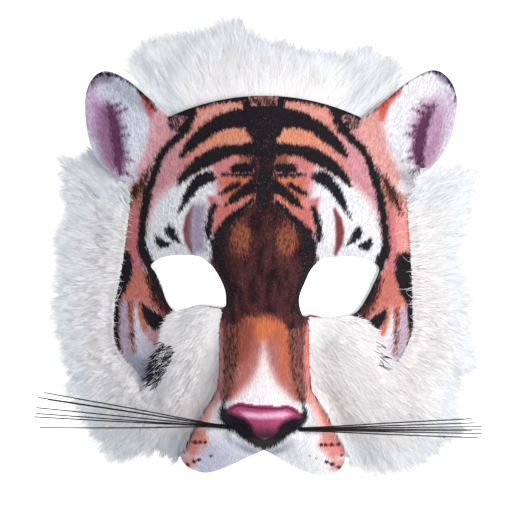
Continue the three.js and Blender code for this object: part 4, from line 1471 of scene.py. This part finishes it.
def strand_mesh(name, strands, material):
    """Closed three-sided spikes along the given lines. They are shaded mostly like the pile as a whole."""
    lines = strands.lines
    count, segments = len(lines), lines.shape[1] - 1
    side = np.column_stack([strands.across, np.zeros(count)])
    up = np.array([0, 0, 1.0])
    vertices = np.empty((count, segments * 3 + 1, 3))
    normals = np.empty_like(vertices)
    lean = strands.facing + RNG.normal(0, HAIR_LEAN, strands.facing.shape)
    normals[:] = lean[:, None, :]
    for j in range(segments):
        radius = (strands.widths * (1 - (j / segments) ** 2 * STRAND_TAPER) / 2)[:, None]
        for k in range(3):
            turn = math.radians(90 + 120 * k)
            out = side * math.cos(turn) + up * math.sin(turn)
            vertices[:, j * 3 + k] = lines[:, j] + radius * out
            normals[:, j * 3 + k] += out * STRAND_ROUNDNESS
    vertices[:, -1] = lines[:, -1]
    obj = mesh_object(name, place(vertices.reshape(-1, 3)), strand_faces(count, segments), [material])
    normals /= np.linalg.norm(normals, axis=2)[:, :, None]
    obj.data.normals_split_custom_set_from_vertices(normals.reshape(-1, 3))
    add_strand_map(obj, strands.tones, segments)
    return obj


def fur_body(name, outline, top, bottom, pitch, material):
    """The dense lower part of the pile, closed all round."""
    points, faces = triangles_between([subdivided(outline, pitch)], pitch)
    used, faces = np.unique(upward(points, faces), return_inverse=True)
    points, faces = points[used], faces.reshape(-1, 3)
    x, y = points.T
    low = np.maximum(bottom(x, y), FLOOR_CLEARANCE)
    high = np.maximum(top(x, y), low + THINNEST_UNDERFUR)
    n = len(points)
    edges = np.vstack([faces[:, [0, 1]], faces[:, [1, 2]], faces[:, [2, 0]]])
    both_ways = set(map(tuple, edges))
    a, b = np.array([(p, q) for p, q in edges if (q, p) not in both_ways]).T
    faces = np.vstack([faces, faces[:, ::-1] + n, np.stack([a, n + a, b], 1), np.stack([b, n + a, n + b], 1)])
    vertices = np.vstack([np.column_stack([points, high]), np.column_stack([points, low])])
    return mesh_object(name, place(vertices), faces, [material])


def muzzle_seam(side):
    top = min(MUZZLE_SEAM_TOP, SEAM_BY_EYE_AND_PRINT[side][0][1] - 1)
    y = np.linspace(MUZZLE_SEAM_BOTTOM, top, MUZZLE_SEAM_POINTS)
    return np.stack([side * (along(MUZZLE_WIDTH, y) + MUZZLE_WALL_FOOT - FUR_UP_THE_WALL[side]), y], axis=1)


def inward_of(outline):
    """Directions that point into a closed outline, one for each of its points."""
    ahead = np.roll(outline, -1, axis=0) - np.roll(outline, 1, axis=0)
    ahead /= np.maximum(np.hypot(*ahead.T), 1e-9)[:, None]
    return np.stack([-ahead[:, 1], ahead[:, 0]], axis=1) * np.sign(area(outline))


def moved_in(outline, amount):
    """The outline with each point moved in by its own amount, less those that then lie too near to it."""
    moved = outline + inward_of(outline) * amount[:, None]
    away = distance_to_line(np.vstack([outline, outline[:1]]), *moved.T)
    clear = inside(outline, *moved.T) & (away > 0.8 * amount)
    return moved[clear | (amount < 0.05)]


def shrunk(outline, line, amount):
    """The outline with every point near the line moved in from it."""
    return moved_in(outline, amount * (1 - ramp(0, amount, distance_to_line(line, *outline.T))))


def flat_by_muzzle(x, y):
    """The ruff's pile lies flat at the foot of the muzzle's wall."""
    past_wall = np.abs(x) - along(MUZZLE_WIDTH, y) - MUZZLE_WALL_FOOT
    return FLAT_BY_THE_MUZZLE + (1 - FLAT_BY_THE_MUZZLE) * ramp(0, FLAT_REACH, past_wall)


def ruff_bed(x, y, depth, rise):
    return pile_bed(x, y) + behind_ear(x, y) + depth * rise


def crest_bed(x, y, depth, rise):
    """The crest lies behind the shell, so its pile is measured down from there."""
    return behind_shell(x, y) - depth * (1 - np.minimum(rise, CREST_HIGHEST_RISE))


def grown_pieces(name, fur, kind_of_fur, length, material):
    share = 1
    pieces = []
    for kind, hair in HAIR.items():
        strands = fur.grow(kind, hair[kind_of_fur] // share, length)
        pieces.append(strand_mesh(f"{name}_{kind}_hair", strands, material))
    return pieces


def make_ruff(side, material, under_material):
    """Long fur on one cheek and side: underfur, three kinds of hair, loose hairs and dyed ones."""
    seam = np.vstack([muzzle_seam(side), spline(SEAM_BY_EYE_AND_PRINT[side], SMOOTHING)])
    fur = Fur(spline(FUR_REACH[side], SMOOTHING), seam, FLOW_CENTRE["ruff"], ruff_bed, PILE,
              flat_by_muzzle, lambda x, y: lap_over_print(side, x, y), just_over_print)

    def length(points):
        share = ramp(*HAIR_LENGTH["over"], distance_to_line(seam, *points.T))
        return HAIR_LENGTH["by the seam"] + HAIR_LENGTH["further out"] * share

    def underfur_top(x, y):
        full = ruff_bed(x, y, fur.thickness(x, y), UNDERFUR_RISE)
        edge = just_over_print(x, y) + UNDERFUR_EDGE
        return edge + (full - edge) * ramp(0, FULL_FROM_SEAM, distance_to_line(fur.seam, x, y))

    name = "fur_ruff_" + SIDE_NAMES[side]
    pieces = grown_pieces(name, fur, "ruff", length, material)
    pieces.append(fur_body(f"{name}_underfur", shrunk(fur.region, seam, UNDERFUR_INSET), underfur_top,
                           just_over_print, UNDERFUR_PITCH, under_material))
    pieces.append(loose_hairs(f"{name}_loose_hair", fur, material))
    pieces.append(dyed_tufts(f"{name}_dyed_hair", fur, side, material))
    for piece in pieces:
        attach(piece, "root")
        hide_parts(name)


def curled_lines(start, heading, size, bend, steps, height):
    """Lines that turn as they run, at heights that height(places, share of the length) gives."""
    rings = []
    for s in np.linspace(0, 1, steps + 1):
        at = start + turned(heading, bend * s) * (size * s)[:, None]
        rings.append(np.column_stack([at, height(at, s)]))
    return np.stack(rings, axis=1)


def lone_strands(lines, heading, tone, width_range):
    """Strands that all have one tone and are shaded for straight up."""
    count = len(lines)
    across = np.stack([-heading[:, 1], heading[:, 0]], axis=1)
    facing = np.tile((0, 0, 1.0), (count, 1))
    return Strands(lines, across, np.full(count, tone), facing, RNG.uniform(*width_range, count))


def loose_hairs(name, fur, material):
    """Short loose hairs that curl from the outer part of the ruff's inner edge over the print."""
    line = resampled(fur.seam[np.abs(fur.seam[:, 0]) > LOOSE_FROM], 0.5)
    ahead = np.gradient(line, axis=0)
    ahead /= np.hypot(*ahead.T)[:, None]
    over = np.stack([ahead[:, 1], -ahead[:, 0]], axis=1)
    over[inside(fur.outline, *(line + over).T)] *= -1
    pick = RNG.integers(len(line), size=LOOSE_HAIRS)
    start = line[pick] - over[pick] * RNG.uniform(*LOOSE_INSET, LOOSE_HAIRS)[:, None]
    heading = turned(over[pick], RNG.normal(0, LOOSE_TURN, LOOSE_HAIRS))
    size = LOOSE_LENGTH[0] + RNG.exponential(LOOSE_LENGTH[1], LOOSE_HAIRS)
    bend = RNG.normal(0, LOOSE_BEND, LOOSE_HAIRS)
    low = pile_bed(*start.T) + LOOSE_START_RISE * fur.thickness(*start.T)
    end = RNG.uniform(*LOOSE_END, LOOSE_HAIRS)

    def height(at, s):
        over_print = face_height(*at.T) + LOOSE_CLEARANCE
        return np.maximum(low * (1 - s) + (over_print + end) * s, over_print)

    lines = curled_lines(start, heading, size, bend, 5, height)
    return strand_mesh(name, lone_strands(lines, heading, LOOSE_TONE, LOOSE_WIDTH), material)


def dyed_tufts(name, fur, side, material):
    """Short dark hairs on top of the pile beside the print's lower corner."""
    patch, count = DYED_HAIR[side]
    start = scattered(np.array(patch, float) * (side, 1), count)
    heading = turned(fur.flow(start), RNG.normal(0, DYED_TURN, count))
    size = RNG.uniform(*DYED_LENGTH, count)
    bend = RNG.normal(0, DYED_BEND, count)

    def height(at, s):
        rise = fur.thickness(*at.T) * (DYED_RISE[0] + DYED_RISE[1] * s) + DYED_CLEARANCE
        return fur.bed(*at.T, rise, 1.0)

    lines = curled_lines(start, heading, size, bend, 2, height)
    return strand_mesh(name, lone_strands(lines, heading, DYED_TONE, DYED_WIDTH), material)


def bristle_path(side, index):
    """The same line as in the part's source, at an even spacing."""
    tips = np.array(WHISKER_TIPS[side], float)
    leave = np.array(NOSTRIL_EXIT[side], float)
    ahead = (tips.mean(axis=0) - leave) * (1, 1, 0)
    ahead /= np.linalg.norm(ahead)
    across = np.cross((0, 0, 1), ahead)
    if index:
        angle = math.radians(60 * (index - 1))
        leave = leave + BRISTLE_PITCH * (math.cos(angle) * across + math.sin(angle) * np.array((0, 0, 1)))
    middle = (leave + tips[index]) / 2 + (0, 0, WHISKER_SAG / 2)
    places = np.array([leave - BRISTLE_TUCK * ahead, leave + BRISTLE_TUCK * ahead, middle, tips[index]])
    run = np.concatenate([[0], np.cumsum(np.linalg.norm(np.diff(places, axis=0), axis=1))])
    at = np.linspace(0, run[-1], BRISTLE_STEPS + 1)
    return np.stack([along(np.column_stack([run, places[:, k]]), at) for k in range(3)], axis=1)


def make_whisker(side, index, material):
    """A stiff bristle that thins to its tip."""
    path = bristle_path(side, index)
    ahead = np.gradient(path, axis=0)
    ahead /= np.linalg.norm(ahead, axis=1)[:, None]
    across = np.cross((0, 0, 1), ahead)
    across /= np.linalg.norm(across, axis=1)[:, None]
    up = np.cross(ahead, across)
    share = np.linspace(0, 1, len(path))
    radius = (BRISTLE_RADIUS * (1 - (1 - BRISTLE_TIP_SHARE) * share ** 1.6))[:, None]
    sides = BRISTLE_SIDES
    rings = []
    for k in range(sides):
        angle = 2 * math.pi * k / sides
        rings.append(path + radius * (math.cos(angle) * across + math.sin(angle) * up))
    vertices = np.vstack([np.stack(rings, axis=1).reshape(-1, 3), path[:1], path[-1:]])
    root, tip = len(vertices) - 2, len(vertices) - 1
    faces = []
    for j in range(len(path) - 1):
        for k in range(sides):
            a, b = j * sides + k, j * sides + (k + 1) % sides
            faces += [(a, b, b + sides), (a, b + sides, a + sides)]
    last = (len(path) - 1) * sides
    for k in range(sides):
        faces += [(root, (k + 1) % sides, k), (tip, last + k, last + (k + 1) % sides)]
    name = f"whisker_{SIDE_NAMES[side]}_{index + 1}"
    obj = mesh_object(f"{name}_bristle", place(vertices), np.array(faces), [material])
    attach(obj, "root")
    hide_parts(name)


def make_crest(material, under_material):
    """Long fur behind the forehead's edge: underfur and three kinds of hair."""
    seam = forehead_arc(SEAM_SPACING)[::-1] - (0, CREST_TUCK)
    fur = Fur(spline(CREST_REACH, SMOOTHING), seam, FLOW_CENTRE["crest"], crest_bed, CREST_THICKNESS)

    def length(points):
        return HAIR_LENGTH["crest"] + HAIR_LENGTH["crest varies"] * RNG.random(len(points))

    pieces = grown_pieces("fur_crest", fur, "crest", length, material)
    pieces.append(fur_body("fur_crest_underfur", fur.region,
                           lambda x, y: behind_shell(x, y) - CREST_UNDERFUR_FALL * fur.thickness(x, y),
                           lambda x, y: behind_shell(x, y) - fur.thickness(x, y),
                           UNDERFUR_PITCH, under_material))
    for piece in pieces:
        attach(piece, "root")
        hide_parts("fur_crest")


def material_fur():
    """Each strand's place in the map gives its share from root to tip, and its tone: inner, outer or dyed."""
    material, nodes, output = new_material("white long pile")
    uv = nodes.add("ShaderNodeUVMap", uv_map="OFBake").outputs[0]
    parts = nodes.add("ShaderNodeSeparateXYZ", {"Vector": uv})
    root_to_tip, tone = parts.outputs[0], parts.outputs[1]
    inner = nodes.mix(nodes.fit(tone, 0.0, TONE_SPAN, smooth=False), *map(rgba, INNER_HAIR_TONES))
    outer = nodes.mix(nodes.fit(tone, TONE_SPAN, 2 * TONE_SPAN, smooth=False), *map(rgba, OUTER_HAIR_TONES))
    colour = nodes.mix(nodes.fit(tone, 0.36, 0.5), inner, outer)
    # Painted shade: each strand is darker towards its root, where the pile above shades it.
    colour = nodes.darkened(colour, nodes.fit(root_to_tip, 0.0, 0.7, 0.94, 1.0))
    colour = nodes.mix(nodes.fit(tone, 0.86, 0.9), colour, rgba(DYED_HAIR_TONE))
    finish_surface(nodes, output, Base_Color=colour, Roughness=0.8, Specular_IOR_Level=0.2)
    return material


def material_bristle():
    material, nodes, output = new_material("black bristle")
    finish_surface(nodes, output, Base_Color=rgba(BRISTLE_TONE), Roughness=0.4, Specular_IOR_Level=0.25)
    return material


def material_underfur():
    material, nodes, output = new_material("white underfur")
    finish_surface(nodes, output, Base_Color=rgba(UNDERFUR_TONE), Roughness=0.9)
    return material


# Floor, light and camera

CAMERA_CENTRE_MM = (-3.43, -3.04)
FRAME_WIDTH_MM = 265.2
FOCUS_HEIGHT_MM = 25
CAMERA_HEIGHT_M = 6.0
SENSOR_MM = 36.0
LIT_PLACE_M = (0, 0, 0.02)
LIGHTS = {
    "key light": {"location": (0.66, 0.1, 0.98), "size": 1.0, "power": 14.4, "colour": (1.0, 0.985, 0.97)},
    "fill light": {"location": (-0.7, 0.1, 0.9), "size": 0.8, "power": 2.3, "colour": (0.82, 0.89, 1.0)},
}
SKY_COLOUR = (0.91, 0.94, 1.0, 1)
SKY_STRENGTH = 0.35
FLOOR_HALF_M = 3
FLOOR_GLOW = 0.75


def make_camera():
    """Looks straight down on the lying mask from far away, as flat as the photo."""
    data = bpy.data.cameras.new("camera")
    data.sensor_width = SENSOR_MM
    data.lens = SENSOR_MM * (CAMERA_HEIGHT_M * 1000 - FOCUS_HEIGHT_MM) / FRAME_WIDTH_MM
    data.clip_end = 20
    camera = bpy.data.objects.new("camera", data)
    camera.location = (CAMERA_CENTRE_MM[0] / 1000, CAMERA_CENTRE_MM[1] / 1000, CAMERA_HEIGHT_M)
    bpy.context.scene.collection.objects.link(camera)
    bpy.context.scene.camera = camera


def area_light(name, location, size, power, colour):
    data = bpy.data.lights.new(name, "AREA")
    data.shape = "DISK"
    data.size = size
    data.energy = power
    data.color = colour
    light = bpy.data.objects.new(name, data)
    light.location = location
    light.rotation_euler = (Vector(LIT_PLACE_M) - Vector(location)).to_track_quat("-Z", "Y").to_euler()
    bpy.context.scene.collection.objects.link(light)


def make_floor():
    """A white table that glows a little, so that it stays white under the mask's soft shadow."""
    material, nodes, output = new_material("white table")
    finish_surface(nodes, output, Base_Color=(0.8, 0.8, 0.8, 1), Roughness=0.9,
                   Emission_Color=(1, 1, 1, 1), Emission_Strength=FLOOR_GLOW)
    corners = [(x * FLOOR_HALF_M, y * FLOOR_HALF_M, 0) for x, y in ((-1, -1), (1, -1), (1, 1), (-1, 1))]
    floor = mesh_object("floor", corners, [[0, 1, 2, 3]], [material], smooth=False)


def make_world():
    world = bpy.data.worlds.new("world")
    world.use_nodes = True
    background = world.node_tree.nodes["Background"]
    background.inputs["Color"].default_value = SKY_COLOUR
    background.inputs["Strength"].default_value = SKY_STRENGTH
    bpy.context.scene.world = world


def main():
    """Dresses the part's solids, and lights them from above as in the photo."""
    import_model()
    shell = make_shell()
    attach(shell, "root")
    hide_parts("mask_shell")
    fur = material_fur()
    underfur = material_underfur()
    for side in SIDES:
        make_ruff(side, fur, underfur)
    make_crest(fur, underfur)
    bristle = material_bristle()
    for side in SIDES:
        for index in range(len(WHISKER_TIPS[side])):
            make_whisker(side, index, bristle)
    make_floor()
    make_world()
    for name, light in LIGHTS.items():
        area_light(name, **light)
    make_camera()
    bpy.context.scene.view_settings.view_transform = "Standard"


main()
